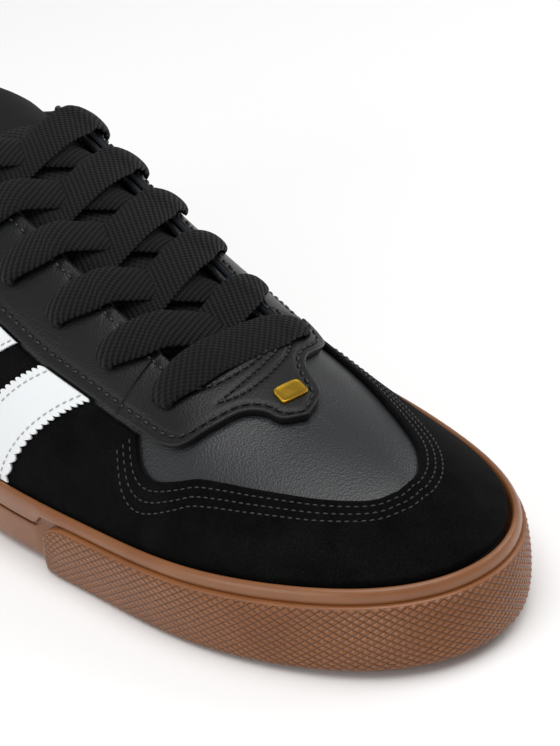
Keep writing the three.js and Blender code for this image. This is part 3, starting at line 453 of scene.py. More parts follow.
# Upper
# The leather shell on the last, from the throat and the padded collar down into the cup. Smooth
# black leather shows in the window over the toes, and a knitted lining covers the inside.
RIDGE = [1, .965, .915, .85, .765, .68, .585, .483, .386, .339, .271]
CENTRE = [0, 0, 0, 0, 0, 0, 0, -.010, -.045, -.085, -.122]
CROWN = [3.2, 3.2, 3.1, 3.0, 2.75, 2.45, 2.25, 2.15, 2.15, 2.15, 2.2]
OUTER_STEEP = [1.9, 1.9, 1.95, 1.95, 1.8, 1.55, 1.3, 1.14, 1.1, 1.1, 1.1]
INNER_STEEP = [1.9, 1.9, 1.95, 1.9, 1.65, 1.25, .94, .84, .93, 1.05, 1.1]
TOP_LINE = [1.00, 0.985, 0.91, 0.835, 0.81, 0.835, 0.90, 0.965, 1.06]
RIDGE_HEIGHT, COLLAR_HEIGHT, COLLAR_PAD = 118.0, 82.0, 5.0
THROAT_FRONT, THROAT_BACK, THROAT_HALF_FRONT, THROAT_HALF_BACK, THROAT_ROUND = 66.0, -47.0, 16.0, 19.5, 10.0
HEEL_CENTRE = -LENGTH / 2 + 0.45 * BALL_WIDTH
TOE_CENTRE = LENGTH / 2 - 0.35 * BALL_WIDTH
foot_line = outline + outline_in * LAST_INSET
heel, toe = outline[:, 1].argmin(), outline[:, 1].argmax()


def half_line(turn):
    """One side of the foot line from heel to toe, with its length so far as a share."""
    steps = (turn * (toe - heel)) % len(foot_line)
    points = foot_line[(heel + turn * np.arange(steps + 1)) % len(foot_line)]
    reach = line_reach(points)
    return points, reach / reach[-1]


HALVES = [half_line(1), half_line(-1)]


def foot_place(s):
    """Foot line at s from 0 at the heel along the outer side to 1 at the toe and back to 2."""
    w = np.where(s <= 1, s, 2 - s)
    sides = [np.stack([np.interp(w, reach, points[:, k]) for k in range(2)], -1) for points, reach in HALVES]
    return np.where((s <= 1)[..., None], sides[0], sides[1])


def centre_line(y):
    """The ridge leans to the inner side at the toes."""
    return BALL_WIDTH * along(CENTRE, y / LENGTH + 0.5)


def ridge_place(s):
    """Top of the section that starts at s."""
    w = np.where(s <= 1, s, 2 - s)
    y = HEEL_CENTRE + (TOE_CENTRE - HEEL_CENTRE) * (1 - np.cos(np.pi * w)) / 2
    return np.stack([centre_line(y), y], -1)


CREASES = [
    # across, along, length, width, turn in degrees, height: soft troughs and ridges of the leather
    (30, 20, 26, 7, 78, -0.35), (34, -6, 22, 8, 84, 0.40), (24, 56, 14, 6, 30, -0.30),
    (8, 100, 20, 9, -20, 0.20), (-6, 92, 26, 8, 8, -0.16), (22, 74, 12, 7, 55, 0.30),
    (38, 60, 16, 9, 40, -0.30), (-34, 40, 20, 8, 100, -0.30), (30, -60, 24, 10, 70, 0.4),
    (-30, -58, 24, 10, 110, -0.4), (30, 104, 14, 9, 130, 0.22), (0, -128, 16, 10, 0, 0.3)]


def creases(x, y):
    """Sum of long soft bumps, each a Gaussian hill stretched along its own direction."""
    total = np.zeros(np.broadcast(x, y).shape)
    for across, at, long, wide, turn, high in CREASES:
        c, s = np.cos(np.radians(turn)), np.sin(np.radians(turn))
        u, v = (x - across) * c + (y - at) * s, -(x - across) * s + (y - at) * c
        total = total + high * np.exp(-(u / long) ** 2 - (v / wide) ** 2)
    return total


def last_point(s, r):
    """Last at s round the foot and share r from ridge to rim: height falls as a rounded power curve."""
    s, r = np.broadcast_arrays(np.asarray(s, float), np.asarray(r, float))
    top, foot = ridge_place(s), foot_place(s)
    c = np.clip(r, 0, 1)
    place = top + (foot - top) * c[..., None]
    at = top[..., 1] / LENGTH + 0.5
    base = rim_height(foot[..., 1])
    steep = np.where(s <= 1, along(OUTER_STEEP, at), along(INNER_STEEP, at))
    rise = np.clip(1 - c ** along(CROWN, at), 0, 1) ** (1 / steep)
    ridge = RIDGE_HEIGHT * along(RIDGE, place[..., 1] / LENGTH + 0.5)
    z = base + (ridge - base) * rise - np.clip(r - 1, 0, None) * 60
    return np.concatenate([place, z[..., None]], -1)


def last_normal(s, r, step=0.004):
    """Unit normal of the last from two short steps along it."""
    s, r = np.broadcast_arrays(np.asarray(s, float), np.asarray(r, float))
    w = np.clip(s, step, 2 - step)
    q = np.clip(r, 0.02, 0.995)
    round_it = last_point(w + step, q) - last_point(w - step, q)
    down = last_point(w, np.minimum(q + step, 1)) - last_point(w, q - step)
    normal = np.cross(down, round_it)
    return normal / np.maximum(np.linalg.norm(normal, axis=-1), 1e-9)[..., None]


def on_last(s, r, lift):
    """Point at a lift above the last, creases included."""
    point = last_point(s, r)
    shape = point.shape[:-1]
    extra = creases(point[..., 0], point[..., 1]) * (1 - ease(np.broadcast_to(r, shape), 0.80, 0.97))
    return point + last_normal(s, r) * (np.broadcast_to(lift, shape) + extra)[..., None]


def locate(x, y):
    """The s and r of the last above a place in plan, found by halving."""
    x, y = np.broadcast_arrays(np.asarray(x, float), np.asarray(y, float))
    outer = x >= centre_line(y)
    low, high = np.zeros(x.shape), np.ones(x.shape)
    for _ in range(30):
        w = (low + high) / 2
        s = np.where(outer, w, 2 - w)
        top, foot = ridge_place(s), foot_place(s)
        way = foot - top
        side = way[..., 0] * (y - top[..., 1]) - way[..., 1] * (x - top[..., 0])
        behind = np.where(outer, -side, side) < 0
        low, high = np.where(behind, w, low), np.where(behind, high, w)
    s = np.where(outer, low, 2 - low)
    top, foot = ridge_place(s), foot_place(s)
    return s, np.hypot(x - top[..., 0], y - top[..., 1]) / np.linalg.norm(foot - top, axis=-1)


def over_last(x, y, lift):
    """Point at a lift above the last over a place in plan."""
    s, r = locate(x, y)
    return on_last(s, r, lift)


def throat_half(y):
    """Half the width of the throat, with a rounded front end."""
    deep = np.clip((THROAT_FRONT - y) / THROAT_ROUND, 0, 1)
    wide = THROAT_HALF_BACK + (THROAT_HALF_FRONT - THROAT_HALF_BACK) * ease(y, THROAT_BACK, THROAT_FRONT)
    return np.where(y < THROAT_BACK - 0.01, 0, wide * np.sqrt(1 - (1 - deep) ** 2))


def top_line(y):
    """Height of the collar, which stops at the throat."""
    t = (y + LENGTH / 2) / (THROAT_BACK + LENGTH / 2)
    return np.where(y > THROAT_BACK, 1e3, COLLAR_HEIGHT * along(TOP_LINE, t))


def halve(test, low, high, steps=30):
    """Place where a test turns from negative to positive, for whole arrays."""
    for _ in range(steps):
        middle = (low + high) / 2
        below = test(middle) < 0
        low, high = np.where(below, middle, low), np.where(below, high, middle)
    return (low + high) / 2


def open_share(s):
    """Share r where the wall starts under the throat and the collar."""
    def test(r):
        p = last_point(s, r)
        return np.minimum(np.abs(p[..., 0] - centre_line(p[..., 1])) - throat_half(p[..., 1]),
                          top_line(p[..., 1]) - p[..., 2])
    start = halve(test, np.zeros(s.shape), np.ones(s.shape))
    return np.where(ridge_place(s)[..., 1] >= THROAT_FRONT - 0.01, 0.0, start)


throat_share = np.arccos(1 - 2 * (THROAT_FRONT - HEEL_CENTRE) / (TOE_CENTRE - HEEL_CENTRE)) / np.pi
throat_back_share = np.arccos(1 - 2 * (THROAT_BACK - HEEL_CENTRE) / (TOE_CENTRE - HEEL_CENTRE)) / np.pi
one_side = np.concatenate([np.linspace(0, throat_share, 110, endpoint=False),
                           np.linspace(throat_share, 1, 70)])
around = np.concatenate([one_side, 2 - one_side[-2:0:-1]])
opening = open_share(around)
down = 1 - (1 - np.linspace(0, 1, 54)) ** 1.25
r = opening[:, None] + (1 - opening[:, None]) * down[None]
s = np.broadcast_to(around[:, None], r.shape)
outside = on_last(s, r, 0.0)
depth = top_line(outside[..., 1]) - outside[..., 2]
pad = ease(depth, -2, 10) * (1 - ease(depth, 19, 34)) * (1 - ease(outside[..., 1], -83, -57))
thick = np.where(outside[..., 1] > THROAT_BACK, WALL, WALL + COLLAR_PAD * pad)
puff = ease(depth, 0, 6) * (1 - ease(depth, 9, 14)) * (1 - ease(outside[..., 1], -75, -50))
puff = puff * (outside[..., 1] < THROAT_BACK)
foot = foot_place(s[:, -1:])
margin = np.dstack([foot, floor_height(foot[..., 1]) + 0.6])
way = last_normal(s, r)
skin = outside + way * (puff * np.clip(depth, 0, 1))[..., None]
lining_face = outside - way * thick[..., None]
margin_way = way[:, -1:] * np.array([1, 1, 0])
lining_foot = margin - margin_way * WALL
# The top edge is a flattened half round from the lining over to the skin.
middle = (skin[:, 0] + lining_face[:, 0]) / 2
half_way = (skin[:, 0] - lining_face[:, 0]) / 2
up_way = np.cross(way[:, 0], np.gradient(outside[:, 0], axis=0))
up_way /= np.maximum(np.linalg.norm(up_way, axis=1), 1e-9)[:, None]
size = np.linalg.norm(half_way, axis=1)[:, None]
edge = [middle + half_way * -np.cos(angle) + up_way * size * 0.8 * np.sin(angle)
        for angle in np.radians([30, 60, 90, 120, 150])]
shell = np.concatenate([lining_foot, lining_face[:, ::-1], np.stack(edge, 1), skin, margin], 1)
faces = cells(*shell.shape[:2], wrap_rows=True, wrap_cols=True)[:, ::-1]
pick = np.tile((np.arange(shell.shape[1]) >= 1 + r.shape[1] + 2).astype(int), shell.shape[0])


def grained_leather(name, code, level):
    """Black full grain leather: a fine pebble of about 0.5 mm under a thin finish, which gives a soft
    blue grey sheen where it turns to the light."""
    made, shader = start_material(name, code, 0.42, 1.5)
    shader.inputs["Specular IOR Level"].default_value = level
    shader.inputs["Coat Weight"].default_value = 0.05
    shader.inputs["Coat Roughness"].default_value = 0.35
    where = add_node(made, "ShaderNodeTexCoord")
    pebble = add_node(made, "ShaderNodeTexVoronoi", {"feature": "SMOOTH_F1"},
                      {"Scale": 1900.0, "Smoothness": 0.6}, {"Vector": where.outputs["Object"]})
    slow = add_node(made, "ShaderNodeTexNoise", values={"Scale": 500.0, "Detail": 5.0},
                    links={"Vector": where.outputs["Object"]})
    both = add_node(made, "ShaderNodeMath", {"operation": "MULTIPLY_ADD"}, {1: 0.25},
                    {0: slow.outputs["Fac"], 2: pebble.outputs["Distance"]})
    bump = add_node(made, "ShaderNodeBump", values={"Strength": 0.6, "Distance": 0.00014},
                    links={"Height": both.outputs["Value"]})
    join(made, bump.outputs["Normal"], shader.inputs["Normal"])
    haze = add_node(made, "ShaderNodeTexNoise", values={"Scale": 28.0, "Detail": 3.0},
                    links={"Vector": where.outputs["Object"]})
    gloss = add_node(made, "ShaderNodeMapRange", values={"To Min": 0.38, "To Max": 0.44},
                     links={"Value": haze.outputs["Fac"]})
    join(made, gloss.outputs["Result"], shader.inputs["Roughness"])
    return made


leather = grained_leather("grained_black_leather", "#16181B", 0.60)
make_piece("upper_shell", shell, faces, [knit, leather], "upper", pick=pick)

# Tongue
# A foam strip in spacer mesh under the eyestay, which stands out of the throat. Its top end is
# covered with smooth fabric, stitched down across the mesh, with a plain woven tab.
TONGUE_FRONT, TONGUE_BACK, PANEL_SEAM = 78.0, -72.0, -42.0
TONGUE_TOP_HEIGHT, TONGUE_LOW_HEIGHT, TONGUE_CROWN = 94.0, 83.0, 12.0


def tongue_point(y, across, sink):
    """Point of the tongue: under the last's surface in front, and a free arch with round corners behind."""
    free = 1 - ease(y, -52, -14)
    half = 20 + 2 * (TONGUE_FRONT - y) / (TONGUE_FRONT - TONGUE_BACK)
    corner = 10 * (1 - np.sqrt(1 - (1 - np.clip((y - TONGUE_BACK) / 10, 0, 1)) ** 2))
    x = centre_line(y) + across * (half - corner)
    under = over_last(x, y, 0)
    top = TONGUE_TOP_HEIGHT + (TONGUE_LOW_HEIGHT - TONGUE_TOP_HEIGHT) * ease(y, TONGUE_BACK, -14)
    arch = np.stack([x, y, top - TONGUE_CROWN * across ** 2], -1)
    point = under + (arch - under) * free[..., None]
    point[..., 2] -= 4.6 * (1 - free) + sink
    return point


quarter = np.radians([15, 30, 45, 60, 75, 90])
length_steps = np.concatenate([np.linspace(TONGUE_FRONT, TONGUE_BACK + 3, 120),
                               TONGUE_BACK + 3 * (1 - np.sin(quarter))])
roll_in = np.concatenate([np.zeros(120), 2.6 * (1 - np.cos(quarter))])
around = np.linspace(-1, 1, 60)
side_roll = 2.2 * ease(np.abs(around), 0.86, 1.0) ** 2
y, across = np.broadcast_arrays(length_steps[:, None], around[None])
quilt = 0.6 * np.exp(-((y - PANEL_SEAM) / 1.2) ** 2)
top_face = tongue_point(y, across, roll_in[:, None] + side_roll[None] + quilt)
thick = 6 + 2 * (1 - ease(y, -52, -14))
under_face = tongue_point(y, across * 0.97, 0)
under_face[..., 2] -= thick - roll_in[:, None] * 0.9 - side_roll[None] * 0.6
strip = np.concatenate([top_face, under_face[:, ::-1]], 1)
mesh_cloth, mesh_shader = start_material("spacer_mesh", "#121315", 0.85, 1.5)
mesh_shader.inputs["Specular IOR Level"].default_value = 0.25
mesh_shader.inputs["Sheen Weight"].default_value = 0.04
mesh_shader.inputs["Sheen Roughness"].default_value = 0.4
# Black polyester spacer mesh: staggered rows of small holes about 1.5 mm apart, with painted shade darkening
# the holes.
where = add_node(mesh_cloth, "ShaderNodeTexCoord")
stretch = add_node(mesh_cloth, "ShaderNodeMapping",
                   values={"Scale": (640.0, 640.0, 0.0), "Rotation": (0, 0, np.pi / 4)},
                   links={"Vector": where.outputs["Object"]})
hole = add_node(mesh_cloth, "ShaderNodeTexVoronoi", values={"Scale": 1.0, "Randomness": 0.08},
                links={"Vector": stretch.outputs["Vector"]})
hole_painted_shade = add_node(mesh_cloth, "ShaderNodeValToRGB", links={"Fac": hole.outputs["Distance"]},
                     stops=[(0.25, "#030303"), (0.45, "#1B1C1E")])
join(mesh_cloth, hole_painted_shade.outputs["Color"], mesh_shader.inputs["Base Color"])
mesh_bump = add_node(mesh_cloth, "ShaderNodeBump", values={"Strength": 0.9, "Distance": 0.0008},
                     links={"Height": hole.outputs["Distance"]})
join(mesh_cloth, mesh_bump.outputs["Normal"], mesh_shader.inputs["Normal"])
smooth_cloth, smooth_shader = start_material("plain_woven_panel", "#121213", 0.7, 1.5)
smooth_shader.inputs["Specular IOR Level"].default_value = 0.2
# Smooth black woven polyester: fine threads, matt, with a slight bloom.
add_relief(smooth_cloth, smooth_shader, "ShaderNodeTexNoise", 1500.0, 0.3, 0.0002)
column_y = np.repeat((length_steps[:-1] + length_steps[1:]) / 2, 120)
pick = np.concatenate([(column_y < PANEL_SEAM).astype(int), [0, 1]])
tongue = make_piece("tongue_strip", strip, tube_faces(strip), [mesh_cloth, smooth_cloth], "tongue",
                    pick=pick)

# Suede
# Black suede cut in one piece round the toe and both sides, sewn on with three rows of thread
# round the leather window. The nap is short and takes almost no light.
WINDOW_OUTER = [  # across, along, from beside the eyestay to the middle of the toe
    (29.5, 59.0), (31.7, 62.2), (33.0, 65.3), (33.1, 69.2), (31.9, 73.3), (29.4, 78.1), (26.5, 82.6),
    (23.4, 89.2), (19.5, 97.5), (14.2, 107.0), (10.0, 113.2), (5.2, 118.6), (0.8, 121.8), (-4.5, 123.0)]
WINDOW_INNER = [
    (-28.8, 60.0), (-29.4, 66.0), (-29.4, 72.0), (-28.6, 79.5), (-26.9, 88.0), (-23.6, 100.0),
    (-20.9, 108.5), (-18.0, 114.2), (-14.0, 119.2), (-9.5, 122.0), (-4.5, 123.0)]
STAY_OUTER = np.array([  # across and along of the eyestay's edge, and its place on the throat
    (0.297, -0.156, 0.00), (0.318, -0.073, 0.22), (0.321, 0.013, 0.45), (0.311, 0.077, 0.61),
    (0.284, 0.140, 0.77), (0.258, 0.199, 0.89), (0.243, 0.229, 0.945), (0.214, 0.246, 0.965),
    (0.153, 0.2565, 0.982),
    (0.090, 0.265, 0.992), (0.054, 0.277, 0.996), (0.034, 0.293, 0.998), (-0.018, 0.302, 1.00)])
STAY_INNER = np.array([
    (-0.279, -0.156, 0.00), (-0.297, -0.073, 0.22), (-0.297, 0.013, 0.45), (-0.288, 0.077, 0.61),
    (-0.268, 0.140, 0.77), (-0.246, 0.199, 0.89), (-0.225, 0.217, 0.945), (-0.185, 0.229, 0.965),
    (-0.140, 0.2385, 0.982), (-0.112, 0.250, 0.992), (-0.097, 0.264, 0.996), (-0.078, 0.288, 0.998),
    (-0.018, 0.302, 1.00)])
COUNTER_FRONT, CUFF_DROP, HIGH_ABOVE = -72.0, 13.0, 164.0
SUEDE_UNDER, SUEDE_OUT = 0.35, 1.55


def stay_line(rows, grow=0.0):
    """Outer edge of the eyestay seen from above, moved out by an amount."""
    line = smooth_rows(rows[:, :2] * np.array([BALL_WIDTH, LENGTH]), 300)
    step = np.gradient(line, axis=0)
    step /= np.linalg.norm(step, axis=1)[:, None]
    turn = 1 if rows[0, 0] > 0 else -1
    return line + grow * turn * np.stack([step[:, 1], -step[:, 0]], 1)


def cuff_share(s, drop=0.0):
    """Share r of the cuff's lower edge, or of a line at a drop below it."""
    def below(r):
        p = last_point(s, r)
        return np.minimum(top_line(p[..., 1]), HIGH_ABOVE) - CUFF_DROP - drop - p[..., 2]
    return halve(below, np.zeros(s.shape), np.ones(s.shape))


def foot_share(y):
    """Share s on the outer side where the foot line reaches a place along the shoe."""
    return halve(lambda s: foot_place(s)[..., 1] - y, np.zeros(1), np.ones(1))[0]


def top_edge(outer):
    """s and r along the suede's top edge: the cuff, the eyestay's edge and the window."""
    rows, window = (STAY_OUTER, WINDOW_OUTER) if outer else (STAY_INNER, WINDOW_INNER)
    w = np.linspace(foot_share(COUNTER_FRONT), throat_back_share + 0.004, 40)
    s = w if outer else 2 - w
    r = cuff_share(s)
    line = stay_line(rows, 0.9)
    line = line[(line[:, 1] < window[0][1] - 0.5) & (line[:, 1] > THROAT_BACK)]
    side_s, side_r = locate(line[:, 0], line[:, 1])
    side_w = side_s if outer else 2 - side_s
    order = np.argsort(side_w)
    beside = np.interp(w, side_w[order], side_r[order])
    y = last_point(s, beside)[:, 1]
    r = r + (beside - r) * ease(y, THROAT_BACK - 12, THROAT_BACK - 1)
    window_s, window_r = locate(*smooth_rows(window, 160).T)
    keep = (side_s > s[-1]) if outer else (side_s < s[-1])
    return (np.concatenate([s, side_s[keep], window_s]), np.concatenate([r, side_r[keep], window_r]),
            len(s) + keep.sum())


def even_curve(points, count):
    """Share along a line of points for equal steps of its length."""
    reach = line_reach(points)
    return np.interp(np.linspace(0, reach[-1], count), reach, np.arange(len(points)))


def slab(ground, low, high, bevel, across=44, relief=None):
    """Sheet of leather or cloth: ground is its line on the last as an array of columns of s and r.
    Each column becomes a loop that runs over the top face with rounded edges and back beneath. With
    a relief, ground is in plan, and the relief gives the extra height of the top face there."""
    first, second = ground[..., 0], ground[..., 1]
    base = last_point(*(locate(first, second) if relief else (first, second)))
    length = np.linalg.norm(np.diff(base, axis=1), axis=2)
    reach = np.concatenate([np.zeros((len(base), 1)), np.cumsum(length, 1)], 1)
    angles = np.radians([0, 22, 45, 68, 90])
    near = bevel * (1 - np.cos(angles))
    total = reach[:, -1:]
    near = np.minimum(near[None], 0.4 * total)
    inner = near[:, -1:] + (total - 2 * near[:, -1:]) * np.linspace(0, 1, across)[None, 1:-1]
    at = np.concatenate([near, inner, total - near[:, ::-1]], 1)
    lift = np.concatenate([high - bevel * (1 - np.sin(angles)), np.full(across - 2, high),
                           high - bevel * (1 - np.sin(angles[::-1]))])
    beneath = total * np.array([1.0, 0.7, 0.3, 0.0])[None]
    at = np.concatenate([at, beneath], 1)
    lift = np.broadcast_to(np.concatenate([lift, np.full(4, low)])[None], at.shape).copy()
    along_it = line_reach(base[:, base.shape[1] // 2])
    end = np.minimum(along_it, along_it[-1] - along_it)
    fall = bevel * (1 - np.sqrt(np.clip(1 - (1 - np.clip(end / bevel, 0, 1)) ** 2, 0, 1)))
    lift[:, :-4] -= fall[:, None] * 0.9
    first, second = [np.stack([np.interp(at[i], reach[i], table[i]) for i in range(len(table))])
                     for table in (first, second)]
    if relief:
        lift[:, :-4] += relief(first, second)[:, :-4]
        first, second = locate(first, second)
    grid = on_last(first, second, lift)
    return grid, tube_faces(grid, turned=True)


suede, suede_shader = start_material("black_suede", "#0C0C0C", 0.95, 1.45)
suede_shader.inputs["Sheen Weight"].default_value = 0.02
suede_shader.inputs["Sheen Roughness"].default_value = 0.5
suede_shader.inputs["Specular IOR Level"].default_value = 0.02
# Split leather with a brushed nap of under a millimetre: very dark, no gloss, with the faintest
# clouds where the nap lies another way.
where = add_node(suede, "ShaderNodeTexCoord")
nap = add_node(suede, "ShaderNodeTexNoise", values={"Scale": 2200.0, "Detail": 4.0},
               links={"Vector": where.outputs["Object"]})
brushed = add_node(suede, "ShaderNodeTexNoise", values={"Scale": 90.0, "Detail": 4.0, "Distortion": 0.6},
                   links={"Vector": where.outputs["Object"]})
suede_tint = add_node(suede, "ShaderNodeValToRGB", links={"Fac": brushed.outputs["Fac"]},
                      stops=[(0.35, "#090909"), (0.7, "#101010")])
nap_tint = add_node(suede, "ShaderNodeMapRange",
                    values={"From Min": 0.3, "From Max": 0.7, "To Min": 0.5, "To Max": 1.5},
                    links={"Value": nap.outputs["Fac"]})
nap_mix = add_node(suede, "ShaderNodeVectorMath", {"operation": "SCALE"},
                   links={0: suede_tint.outputs["Color"], 3: nap_tint.outputs["Result"]})
join(suede, nap_mix.outputs["Vector"], suede_shader.inputs["Base Color"])
suede_bump = add_node(suede, "ShaderNodeBump", values={"Strength": 0.7, "Distance": 0.0003},
                      links={"Height": nap.outputs["Fac"]})
join(suede, suede_bump.outputs["Normal"], suede_shader.inputs["Normal"])

ground = []
for outer in (True, False):
    s, r, corner = top_edge(outer)
    picked = even_curve(last_point(s, r), 330)
    top_s, top_r = (np.interp(picked, np.arange(len(s)), table) for table in (s, r))
    at_corner = s[corner]
    share = np.clip((picked - corner) / (len(s) - 1 - corner), 0, 1)
    foot_s = np.where(picked < corner, top_s, at_corner + (1 - at_corner) * share)
    down = 1 - (1 - np.linspace(0, 1, 46)) ** 1.3
    columns = np.stack([top_s[:, None] + (foot_s - top_s)[:, None] * down[None],
                        top_r[:, None] + (1.03 - top_r)[:, None] * down[None]], -1)
    ground.append(columns if outer else columns[::-1])
ground = np.concatenate([ground[0], ground[1][1:]])
suede_grid, suede_faces = slab(ground, SUEDE_UNDER, SUEDE_OUT, 0.5, across=52)
make_piece("suede_sides", suede_grid, suede_faces, [suede], "suede_toe_and_sides")


STITCH_RINGS, STITCH_SIDES = 7, 6


def stitch_row(name, line, pitch, long, thick, finish):
    """One row of thread: a small rounded bar for each stitch, laid along a line of points."""
    points, normals = line
    reach = line_reach(points)
    count = max(int(reach[-1] / pitch), 1)
    centre = (np.arange(count) + 0.5) * reach[-1] / count
    pick = lambda table, at: np.stack([np.interp(at, reach, table[:, k]) for k in range(3)], -1)
    spine = np.linspace(-1, 1, STITCH_RINGS)
    at = centre[:, None] + spine[None] * long / 2
    path = pick(points, np.clip(at, 0, reach[-1]))
    up = pick(normals, centre)[:, None]
    ahead = np.gradient(path, axis=1)
    ahead /= np.maximum(np.linalg.norm(ahead, axis=2), 1e-9)[..., None]
    side = np.cross(ahead, up)
    side /= np.maximum(np.linalg.norm(side, axis=2), 1e-9)[..., None]
    girth = thick / 2 * np.sqrt(np.clip(1 - np.abs(spine) ** 3.0, 0.03, 1))[None, :, None]
    turn = np.linspace(0, 2 * np.pi, STITCH_SIDES, endpoint=False)
    path = path + up * (0.30 * thick * np.cos(spine * np.pi / 2) - 0.12 * thick)[None, :, None]
    bars = path[:, :, None] + (side * girth)[:, :, None] * np.cos(turn)[None, None, :, None] \
        + (up * girth)[:, :, None] * np.sin(turn)[None, None, :, None]
    corners = STITCH_RINGS * STITCH_SIDES * np.arange(count)[:, None, None]
    ring = np.arange(STITCH_SIDES)
    walls = cells(STITCH_RINGS, STITCH_SIDES, wrap_cols=True)[None] + corners
    ends = np.stack([ring, (ring + (STITCH_RINGS - 1) * STITCH_SIDES)[::-1]])[None] + corners
    faces = walls.reshape(-1, 4).tolist() + ends.reshape(-1, STITCH_SIDES).tolist()
    return make_piece(name, bars, faces, [finish])


def row_on_last(s, r, lift):
    """Line of points and normals on the last for a row of stitches."""
    return on_last(s, r, lift), last_normal(s, r)


thread_black, thread_shader = start_material("black_sewing_thread", "#0C0C0D", 0.40, 1.5)
# Bonded polyester thread: black, slightly glossy, so that each stitch catches a glint.
add_relief(thread_black, thread_shader, "ShaderNodeTexNoise", 3000.0, 0.4, 0.0001)
thread_painted_lighter, grey_shader = start_material("black_thread_painted_lighter", "#1F1F21", 0.42, 1.5)
# The same black thread on the suede, coloured a lighter grey: painted light for the light its twist catches
# against the dull nap.
add_relief(thread_painted_lighter, grey_shader, "ShaderNodeTexNoise", 3000.0, 0.4, 0.0001)


def offset_line(line, grow):
    """A line in plan moved sideways by an amount."""
    step = np.gradient(line, axis=0)
    step /= np.linalg.norm(step, axis=1)[:, None]
    return line + grow * np.stack([step[:, 1], -step[:, 0]], 1)


whole_window = np.vstack([smooth_rows(WINDOW_OUTER, 160), smooth_rows(WINDOW_INNER, 160)[::-1][1:]])
for k, grow in enumerate((1.7, 3.5, 5.2)):
    line = offset_line(whole_window, grow)
    line = line[even_curve(np.column_stack([line, 0 * line[:, :1]]), 400).astype(int)]
    s, r = locate(*line.T)
    stitch_row(f"window_stitches_{k + 1}", row_on_last(s, r, SUEDE_OUT), 2.05, 1.45, 0.5, thread_painted_lighter)

# Heel counter
# A second suede piece cupped round the heel, sewn over the sides.
start = foot_share(COUNTER_FRONT - 1.0)
w = np.linspace(-start, start, 170)
s = np.where(w < 0, 2 + w, w)
top_r = cuff_share(s)
down = 1 - (1 - np.linspace(0, 1, 40)) ** 1.3
ground = np.stack([np.broadcast_to(s[:, None], (170, 40)),
                   top_r[:, None] + (1.03 - top_r)[:, None] * down[None]], -1)
heel_grid, heel_faces = slab(ground, SUEDE_UNDER, SUEDE_OUT, 0.5, across=40)
make_piece("heel_suede", heel_grid, heel_faces, [suede], "heel_counter")
for k, drop in enumerate((2.0, 4.2)):
    r = cuff_share(s[3:-3], drop)
    stitch_row(f"counter_top_stitches_{k + 1}", row_on_last(s[3:-3], r, SUEDE_OUT), 2.2, 1.6, 0.5,
               thread_painted_lighter)
    for side, column in (("outer", start - drop / 380), ("inner", 2 - start + drop / 380)):
        front = np.full(60, column)
        r = np.linspace(cuff_share(front[:1], 5.5)[0], 1.0, 60)
        stitch_row(f"counter_{side}_stitches_{k + 1}", row_on_last(front, r, SUEDE_OUT), 2.2, 1.6, 0.5,
                   thread_painted_lighter)

# Eyestay
# Black leather facing round the throat, with a bridge over its front end and a small tab. It is
# sewn along its edge, punched for six pairs of eyelets, and backed with a second layer.
STAY_UNDER, STAY_OUT = 0.5, 2.4
EYELET_ROWS, EYELET_FRONT, EYELET_PITCH, EYELET_HOLE = 6, 61.5, 19.4, 4.6
EYELET_OUTER_FRONT, EYELET_OUTER_BACK, EYELET_INNER_FRONT, EYELET_INNER_BACK = 21.6, 29.2, 19.0, 23.0
STAY_CORNER, PUNCH_DEEP, PUNCH_HIGH, PUNCH_SIDES = 7.0, 3.0, 7.0, 20


def stay_columns(rows, count, across):
    """Columns in plan from the throat's edge out to the eyestay's edge."""
    line = smooth_rows(rows * np.array([BALL_WIDTH, LENGTH, 1.0]) * np.array([1, 1, 100]), count)
    outer_line, place = line[:, :2], np.clip(line[:, 2] / 100, 0, 1)
    y = THROAT_BACK + (THROAT_FRONT - THROAT_BACK) * place
    turn = 1 if rows[0, 0] > 0 else -1
    corner = STAY_CORNER * (1 - np.sqrt(1 - (1 - np.clip((y - THROAT_BACK) / STAY_CORNER, 0, 1)) ** 2))
    inner_line = np.stack([centre_line(y) + turn * (throat_half(y) + corner), y], 1)
    t = np.linspace(0, 1, across)[None, :, None]
    return inner_line[:, None] * (1 - t) + outer_line[:, None] * t


edge_rows = np.vstack([STAY_OUTER[:, :2], STAY_INNER[::-1][1:, :2]]) * np.array([BALL_WIDTH, LENGTH])
edge_line = offset_line(smooth_rows(edge_rows, 1200), -1.9)[12:-12]
y = np.linspace(THROAT_BACK + 5, 57, 60)
throat_line = np.vstack([
    np.stack([centre_line(y) + throat_half(y) + 2.4, y], 1),
    smooth_rows([(17.2, 62.5), (14.7, 66.4), (10.4, 69.0), (5.2, 69.9), (-0.3, 69.6), (-6.2, 67.9),
                 (-11.8, 64.5)], 60),
    np.stack([centre_line(y) - throat_half(y) - 1.3, y], 1)[::-1]])
LEAF = [(13.0, 73.3), (9.5, 73.4), (5.0, 73.0), (-0.1, 72.0), (-5.4, 70.1), (-9.8, 67.9), (-13.8, 66.2),
        (-10.8, 70.1), (-7.7, 72.2), (-2.9, 74.4), (1.6, 75.5), (5.8, 75.8), (9.6, 75.0), (13.0, 73.3)]
leaf_line = smooth_rows(LEAF, 200)
SEAM = 52.2


def stay_relief(x, y):
    """The bridge stands over the facing in front of the seam, and each row of thread sinks in."""
    rise = 0.75 * ease(y, SEAM - 0.35, SEAM + 0.35) * (1 - 0.6 * ease(y, SEAM + 1, SEAM + 14))
    place = np.stack([x, y], -1)
    for line, deep, wide in ((edge_line, 0.28, 0.8), (throat_line, 0.28, 0.8), (leaf_line, 0.22, 0.7)):
        line = line[::3]
        far = np.stack([np.min(np.linalg.norm(row[:, None] - line[None], axis=2), axis=1) for row in place])
        rise = rise - deep * np.exp(-(far / wide) ** 2)
    return rise


plan = np.concatenate([stay_columns(STAY_OUTER, 330, 30), stay_columns(STAY_INNER, 260, 30)[::-1][1:]])
stay_grid, stay_faces = slab(plan, STAY_UNDER, STAY_OUT, 0.6, across=54, relief=stay_relief)
